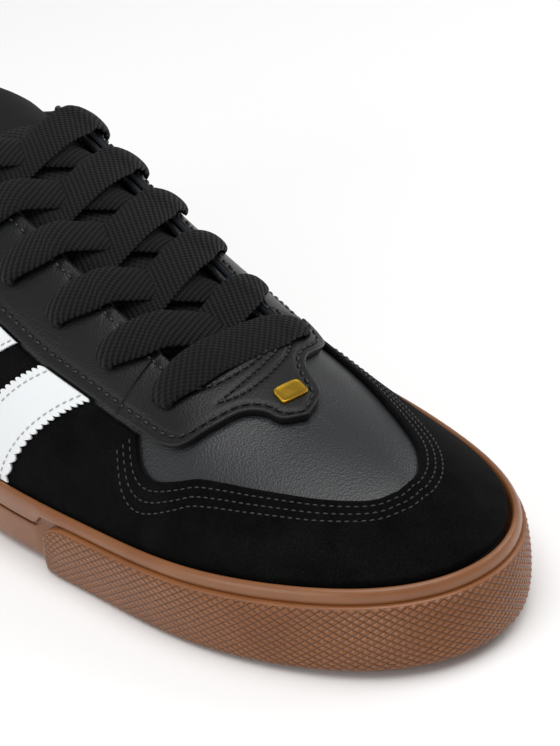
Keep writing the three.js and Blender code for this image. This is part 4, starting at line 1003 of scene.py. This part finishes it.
# The facing is the same leather as the window, coloured darker and given a duller finish: painted shade for
# its turning away from the light.
shaded_facing_leather = grained_leather("facing_leather_painted_shade", "#0C0D0F", 0.30)
raw_edge, _ = start_material("raw_leather_edge", "#2B3138", 0.75, 1.5)
# The cut edge of the leather at the throat, where its blue grey core shows.
rib = stay_grid.shape[1]
pick = [int(k % rib == rib - 1) for k in range(len(stay_faces))]
eyelets = []
for row in range(EYELET_ROWS):
    y = EYELET_FRONT - row * EYELET_PITCH
    share = np.sin(np.pi / 2 * row / (EYELET_ROWS - 1))
    outer = EYELET_OUTER_FRONT + (EYELET_OUTER_BACK - EYELET_OUTER_FRONT) * share
    inner = EYELET_INNER_FRONT + (EYELET_INNER_BACK - EYELET_INNER_FRONT) * share
    for turn, out in ((1, outer), (-1, -inner)):
        eyelets.append((row, turn, float(centre_line(np.array(y))) + out, y))
stay = make_piece("eyestay_leather", stay_grid, stay_faces, [shaded_facing_leather, raw_edge], "eyestay",
                  pick=pick)
# One mesh of twelve pins cuts the eyelets out of the facing.
punch = bpy.data.meshes.new("punch")
rim_turn = np.linspace(0, 2 * np.pi, PUNCH_SIDES, endpoint=False)
points, faces = [], []
for _, _, x, y in eyelets:
    at, up = over_last(x, y, 0.0), last_normal(*locate(x, y))
    one = np.cross(up, [0, 1, 0])
    one /= np.linalg.norm(one)
    two = np.cross(up, one)
    circle = EYELET_HOLE / 2 * (np.cos(rim_turn)[:, None] * one + np.sin(rim_turn)[:, None] * two)
    low = len(points) + np.arange(PUNCH_SIDES)
    high = low + PUNCH_SIDES
    points += [*(at - up * PUNCH_DEEP + circle), *(at + up * PUNCH_HIGH + circle)]
    faces += np.stack([low, np.roll(low, -1), np.roll(high, -1), high], 1).tolist()
    faces += [low[::-1].tolist(), high.tolist()]
punch.from_pydata(((np.array(points) + [*LAST_PLACE, 0]) / 1000).tolist(), [], faces)
punch_body = bpy.data.objects.new("punch", punch)
bpy.context.collection.objects.link(punch_body)
cut = stay.modifiers.new("eyelet_holes", "BOOLEAN")
cut.object, cut.operation, cut.solver = punch_body, "DIFFERENCE", "EXACT"
holed = bpy.data.meshes.new_from_object(stay.evaluated_get(bpy.context.evaluated_depsgraph_get()))
stay.modifiers.clear()
stay.data = holed
bpy.data.objects.remove(punch_body)
for name, line, pitch in (("edge", edge_line, 3.0), ("throat", throat_line, 2.7), ("leaf", leaf_line, 2.0)):
    at = even_curve(np.column_stack([line, 0 * line[:, :1]]), 500)
    line = np.stack([np.interp(at, np.arange(len(line)), line[:, k]) for k in range(2)], 1)
    lift = STAY_OUT + 0.12 + stay_relief(line[None, :, 0], line[None, :, 1])[0]
    stitch_row(f"eyestay_{name}_stitches", row_on_last(*locate(*line.T), lift), pitch, 0.78 * pitch, 0.82,
               thread_black)

# Side bands
# Strips of smooth white leather on the suede, sewn from the eyestay to the rim on both sides. The
# wide one is pinked along both edges, and the narrow one is cut straight.
BAND_FRONT, WIDE_BAND, NARROW_BAND, BAND_GAP, BAND_RAKE, BAND = 48.0, 18.0, 9.0, 9.5, 26.0, 0.8
BAND_STEPS, TOOTH_DEEP, BAND_LONG, TOOTH_PITCH = 260, 1.3, 48.0, 3.1
white, white_shader = start_material("white_leather", "#EAECED", 0.45, 1.5)
white_shader.inputs["Subsurface Weight"].default_value = 0.03
# Smooth white leather under a thick finish, almost without grain.
add_relief(white, white_shader, "ShaderNodeTexVoronoi", 900.0, 0.15, 0.0001)
thread_white, thread_white_shader = start_material("white_sewing_thread", "#A9AAA9", 0.6, 1.5)
# Polyester thread a shade greyer than the leather, so that the rows show on the white.
add_relief(thread_white, thread_white_shader, "ShaderNodeTexNoise", 3000.0, 0.4, 0.0001)


def band_edge(outer, y, count):
    """s and r down the side from the eyestay's edge, raked back towards the heel."""
    head = np.arccos(1 - 2 * (y - HEEL_CENTRE) / (TOE_CENTRE - HEEL_CENTRE)) / np.pi
    w = np.linspace(0, 1, 400)
    foot = np.interp(y - BAND_RAKE, foot_place(w if outer else 2 - w)[:, 1], w)
    line = stay_line(STAY_OUTER if outer else STAY_INNER, 0.5)
    order = np.argsort(line[:, 1])
    edge_s, edge_r = locate(line[order, 0], line[order, 1])
    edge_w = edge_s if outer else 2 - edge_s
    top = np.interp(head, np.maximum.accumulate(edge_w), edge_r)
    t = np.linspace(0, 1, count)
    w = head + (foot - head) * t
    return (w if outer else 2 - w), top + (1.004 - top) * t


for outer in (True, False):
    side_name = "outer" if outer else "inner"
    for band_name, front, width, pinked in (
            ("wide", BAND_FRONT, WIDE_BAND, True),
            ("narrow", BAND_FRONT - WIDE_BAND - BAND_GAP, NARROW_BAND, False)):
        front_s, front_r = band_edge(outer, front, BAND_STEPS)
        back_s, back_r = band_edge(outer, front - width, BAND_STEPS)
        tooth = np.zeros(BAND_STEPS)
        if pinked:
            wave = np.sin(np.pi * np.arange(BAND_STEPS) / BAND_STEPS * BAND_LONG / TOOTH_PITCH)
            tooth = 1 - np.abs(wave) ** 0.8
        bite = (TOOTH_DEEP * tooth / width)[:, None]
        t = bite + (1 - 2 * bite) * np.linspace(0, 1, 24)[None]
        ground = np.stack([front_s[:, None] + (back_s - front_s)[:, None] * t,
                           front_r[:, None] + (back_r - front_r)[:, None] * t], -1)
        if not outer:
            ground = ground[:, ::-1]
        low, inside = SUEDE_OUT + 0.1, 3.0 if pinked else 1.3
        grid, faces = slab(ground, low, low + BAND, 0.35, across=20)
        make_piece(f"{band_name}_band_{side_name}_leather", grid, faces, [white],
                   f"{band_name}_band_{side_name}")
        for k, share in enumerate((inside / width, 1 - inside / width)):
            s = front_s + (back_s - front_s) * share
            r = front_r + (back_r - front_r) * share
            stitch_row(f"{band_name}_band_{side_name}_stitches_{k + 1}",
                       row_on_last(s, r, low + BAND), 2.3, 1.7, 0.5, thread_white)

# Badge
# A small plate of gold coloured metal with round corners, pressed on the tab and left plain.
gold, gold_shader = start_material("gold_plated_zinc", "#B08A2C", 0.30)
gold_shader.inputs["Metallic"].default_value = 1.0
# Thin gold plating over a cast plate: a soft mirror with the casting's slight unevenness.
add_relief(gold, gold_shader, "ShaderNodeTexNoise", 700.0, 0.15, 0.0001)
BADGE_PLACE, BADGE_LONG, BADGE_WIDE, BADGE_THICK = (-2.6, 82.5), 8.0, 5.4, 1.2
angle = np.linspace(0, 2 * np.pi, 96, endpoint=False)
outline_x = BADGE_LONG / 2 * np.sign(np.cos(angle)) * np.abs(np.cos(angle)) ** 0.35
outline_y = BADGE_WIDE / 2 * np.sign(np.sin(angle)) * np.abs(np.sin(angle)) ** 0.35
shares = [(1.0, 0.0), (1.0, 0.55), (0.985, 0.78), (0.95, 0.93), (0.90, 1.0), (0.84, 0.93), (0.80, 0.90),
          (0.4, 0.94), (0.0, 0.95)]
plate = np.stack([over_last(BADGE_PLACE[0] + share * outline_x, BADGE_PLACE[1] + share * outline_y,
                            STAY_OUT + BADGE_THICK * high) for share, high in shares], 1)
faces = [list(face) for face in cells(*plate.shape[:2], wrap_rows=True)]
faces.append([k * len(shares) for k in range(96)][::-1])
make_piece("badge", plate, faces, [gold], "badge_plate")

# Laces
# One flat woven polyester lace, 12 mm wide. It lies straight across the first pair of eyelets and
# then crosses to each next pair, coming up from under the eyestay and going down through it.
LACE_WIDE, LACE_THICK, LACE_STEPS, LACE_SIDES, LACE_REST = 12.0, 1.8, 120, 40, 6
lace_cloth, lace_shader = start_material("woven_black_lace", "#121213", 0.7, 1.5)
lace_shader.inputs["Specular IOR Level"].default_value = 0.18
lace_shader.inputs["Sheen Weight"].default_value = 0.03
lace_shader.inputs["Sheen Roughness"].default_value = 0.4
# Tubular polyester braid pressed flat: slanting ribs about 1.3 mm apart, each a row of small picks.
where = add_node(lace_cloth, "ShaderNodeUVMap", {"uv_map": "surface"})
waves = []
for turn, pitch in ((38, 0.00135), (-50, 0.0010)):
    slant = add_node(lace_cloth, "ShaderNodeMapping", values={"Rotation": (0, 0, np.radians(turn))},
                     links={"Vector": where.outputs["UV"]})
    part = add_node(lace_cloth, "ShaderNodeSeparateXYZ", links={"Vector": slant.outputs["Vector"]})
    phase = add_node(lace_cloth, "ShaderNodeMath", {"operation": "MULTIPLY"}, {1: 2 * np.pi / pitch},
                     {0: part.outputs["X"]})
    waves.append(add_node(lace_cloth, "ShaderNodeMath", {"operation": "SINE"},
                          links={0: phase.outputs["Value"]}))
weave = add_node(lace_cloth, "ShaderNodeMath", {"operation": "MULTIPLY_ADD"}, {1: 0.28},
                 {0: waves[1].outputs["Value"], 2: waves[0].outputs["Value"]})
lace_bump = add_node(lace_cloth, "ShaderNodeBump", values={"Strength": 1.0, "Distance": 0.00035},
                     links={"Height": weave.outputs["Value"]})
join(lace_cloth, lace_bump.outputs["Normal"], lace_shader.inputs["Normal"])
# Painted shade: the colour follows the weave's relief, near black in the valleys between the ribs and
# lighter on their tops.
weave_shade_share = add_node(lace_cloth, "ShaderNodeMapRange", values={"From Min": -1.28, "From Max": 1.28},
                      links={"Value": weave.outputs["Value"]})
lace_painted_shade = add_node(lace_cloth, "ShaderNodeValToRGB", links={"Fac": weave_shade_share.outputs["Result"]},
                       stops=[(0.0, "#020202"), (1.0, "#1A1A1B")])
join(lace_cloth, lace_painted_shade.outputs["Color"], lace_shader.inputs["Base Color"])


def lace_run(name, start, end, goes_in, over, tilt, skew):
    """Flat lace between two eyelets: its line follows the last at a changing lift, and its section is
    a flat oval that narrows where it goes through a hole. goes_in tells for each end whether the lace
    enters from outside or comes up from beneath."""
    start, end = np.array(start, float), np.array(end, float)
    ahead = end - start
    span_long = np.linalg.norm(ahead)
    ahead /= span_long
    outside = [(0.4, -4.5), (0.2, -2.0), (-0.5, 1.0), (-1.7, 2.6), (-1.3, 3.9), (1.6, 4.3), (5.0, 4.0),
               (9.0, 3.8), (13.0, 3.7)]
    across_side = [(0.4, -4.5), (0.5, -2.0), (0.6, 1.0), (0.2, 2.6), (0.8, 3.8), (3.0, 4.2), (6.0, 3.9),
                   (9.0, 3.4)]
    beneath = [(-3.0, -3.1), (2.0, -3.1), (6.0, -3.0), (9.0, -2.6), (13.0, -1.6)]
    entry = [outside if place[0] > centre_line(place[1]) else across_side for place in (start, end)]
    head = entry[0] if goes_in[0] else beneath
    tail = entry[1] if goes_in[1] else beneath
    middle_lift = (head[-1][1] + tail[-1][1]) / 2 + over
    line = [*head, (span_long * 0.5, middle_lift), *[(span_long - at, lift) for at, lift in tail[::-1]]]
    line = smooth_rows(line, LACE_STEPS)
    reach = line_reach(line)
    sideways = skew * np.sin(np.pi * np.clip(line[:, 0] / span_long, 0, 1))
    square = np.array([-ahead[1], ahead[0]])
    plan = start + line[:, :1] * ahead + sideways[:, None] * square
    s, r = locate(*plan.T)
    spine = on_last(s, r, 0.0) + last_normal(s, r) * line[:, 1:2]
    near = [13.0 if path is outside else 6.0 for path in entry]
    run = np.clip((line[:, 0] - near[0]) / (span_long - sum(near)), 0, 1)
    free = slice(LACE_REST, -LACE_REST)
    ends = [np.interp(at, line[free, 0], spine[free, 2]) for at in (near[0], span_long - near[1])]
    chord = ends[0] + (ends[1] - ends[0]) * run
    spine[:, 2] += 0.5 * (chord - spine[:, 2]) * ease(run, 0, 0.15) * (1 - ease(run, 0.85, 1))
    normal = last_normal(s, r)
    step = np.gradient(spine, axis=0)
    step /= np.linalg.norm(step, axis=1)[:, None]
    flat_way = np.cross(normal, step)
    for _ in range(3):
        flat_way[1:-1] = (flat_way[:-2] + flat_way[1:-1] + flat_way[2:]) / 3
    flat_way -= step * np.sum(flat_way * step, 1)[:, None]
    flat_way /= np.linalg.norm(flat_way, axis=1)[:, None]
    up = np.cross(step, flat_way)
    lean = np.radians(tilt) * np.sin(np.linspace(0, np.pi, LACE_STEPS))[:, None]
    flat_way, up = flat_way * np.cos(lean) + up * np.sin(lean), up * np.cos(lean) - flat_way * np.sin(lean)
    wide = np.full(LACE_STEPS, LACE_WIDE)
    thick = np.full(LACE_STEPS, LACE_THICK)
    for enters, distance in zip(goes_in, (reach, reach[-1] - reach)):
        if enters:
            pinch = 1 - ease(distance, 4.0, 19.0)
            wide = wide * (1 - 0.52 * pinch)
            thick = thick * (1 + 0.45 * pinch)
    angle = np.linspace(0, 2 * np.pi, LACE_SIDES, endpoint=False)
    across = np.sign(np.cos(angle)) * np.abs(np.cos(angle)) ** 0.75
    high = np.sign(np.sin(angle)) * np.abs(np.sin(angle)) ** 0.8
    bow = 0.35 * (1 - across ** 2)
    tube = spine[:, None] + flat_way[:, None] * (wide[:, None] / 2 * across)[..., None] \
        + up[:, None] * (thick[:, None] / 2 * high + bow)[..., None]
    uv = np.stack([np.broadcast_to(reach[:, None], tube.shape[:2]), wide[:, None] / 2 * across], -1)
    return make_piece(name, tube, tube_faces(tube, turned=True), [lace_cloth], uv=uv)


eyelet_at = {(row, turn): (x, y) for row, turn, x, y in eyelets}
RUNS = [  # rows and sides joined, whether each end enters from outside, height over, tilt, sideways bow
    ("bar", (0, -1), (0, 1), (True, True), -0.6, 0, 1.5),
    ("over_1", (0, -1), (1, 1), (False, True), 0.6, 3, 1.0),
    ("under_1", (0, 1), (1, -1), (False, True), -1.6, -3, -1.0),
    ("under_2", (1, -1), (2, 1), (False, True), -1.6, 4, 1.5),
    ("over_2", (1, 1), (2, -1), (False, True), 0.8, -6, -0.5),
    ("under_3", (2, -1), (3, 1), (False, True), -1.6, 7, 0.5),
    ("over_3", (2, 1), (3, -1), (False, True), 0.8, -3, -1.5),
    ("under_4", (3, -1), (4, 1), (False, True), -1.6, 3, 1.0),
    ("over_4", (3, 1), (4, -1), (False, True), 0.8, -5, -1.0),
    ("under_5", (4, -1), (5, 1), (False, True), -1.6, 4, 1.0),
    ("over_5", (4, 1), (5, -1), (False, True), 0.8, -3, -1.0)]
for name, start, end, goes_in, over, tilt, skew in RUNS:
    lace_run(f"lace_{name}", eyelet_at[start], eyelet_at[end], goes_in, over, tilt, skew)
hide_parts("lace_crossings")
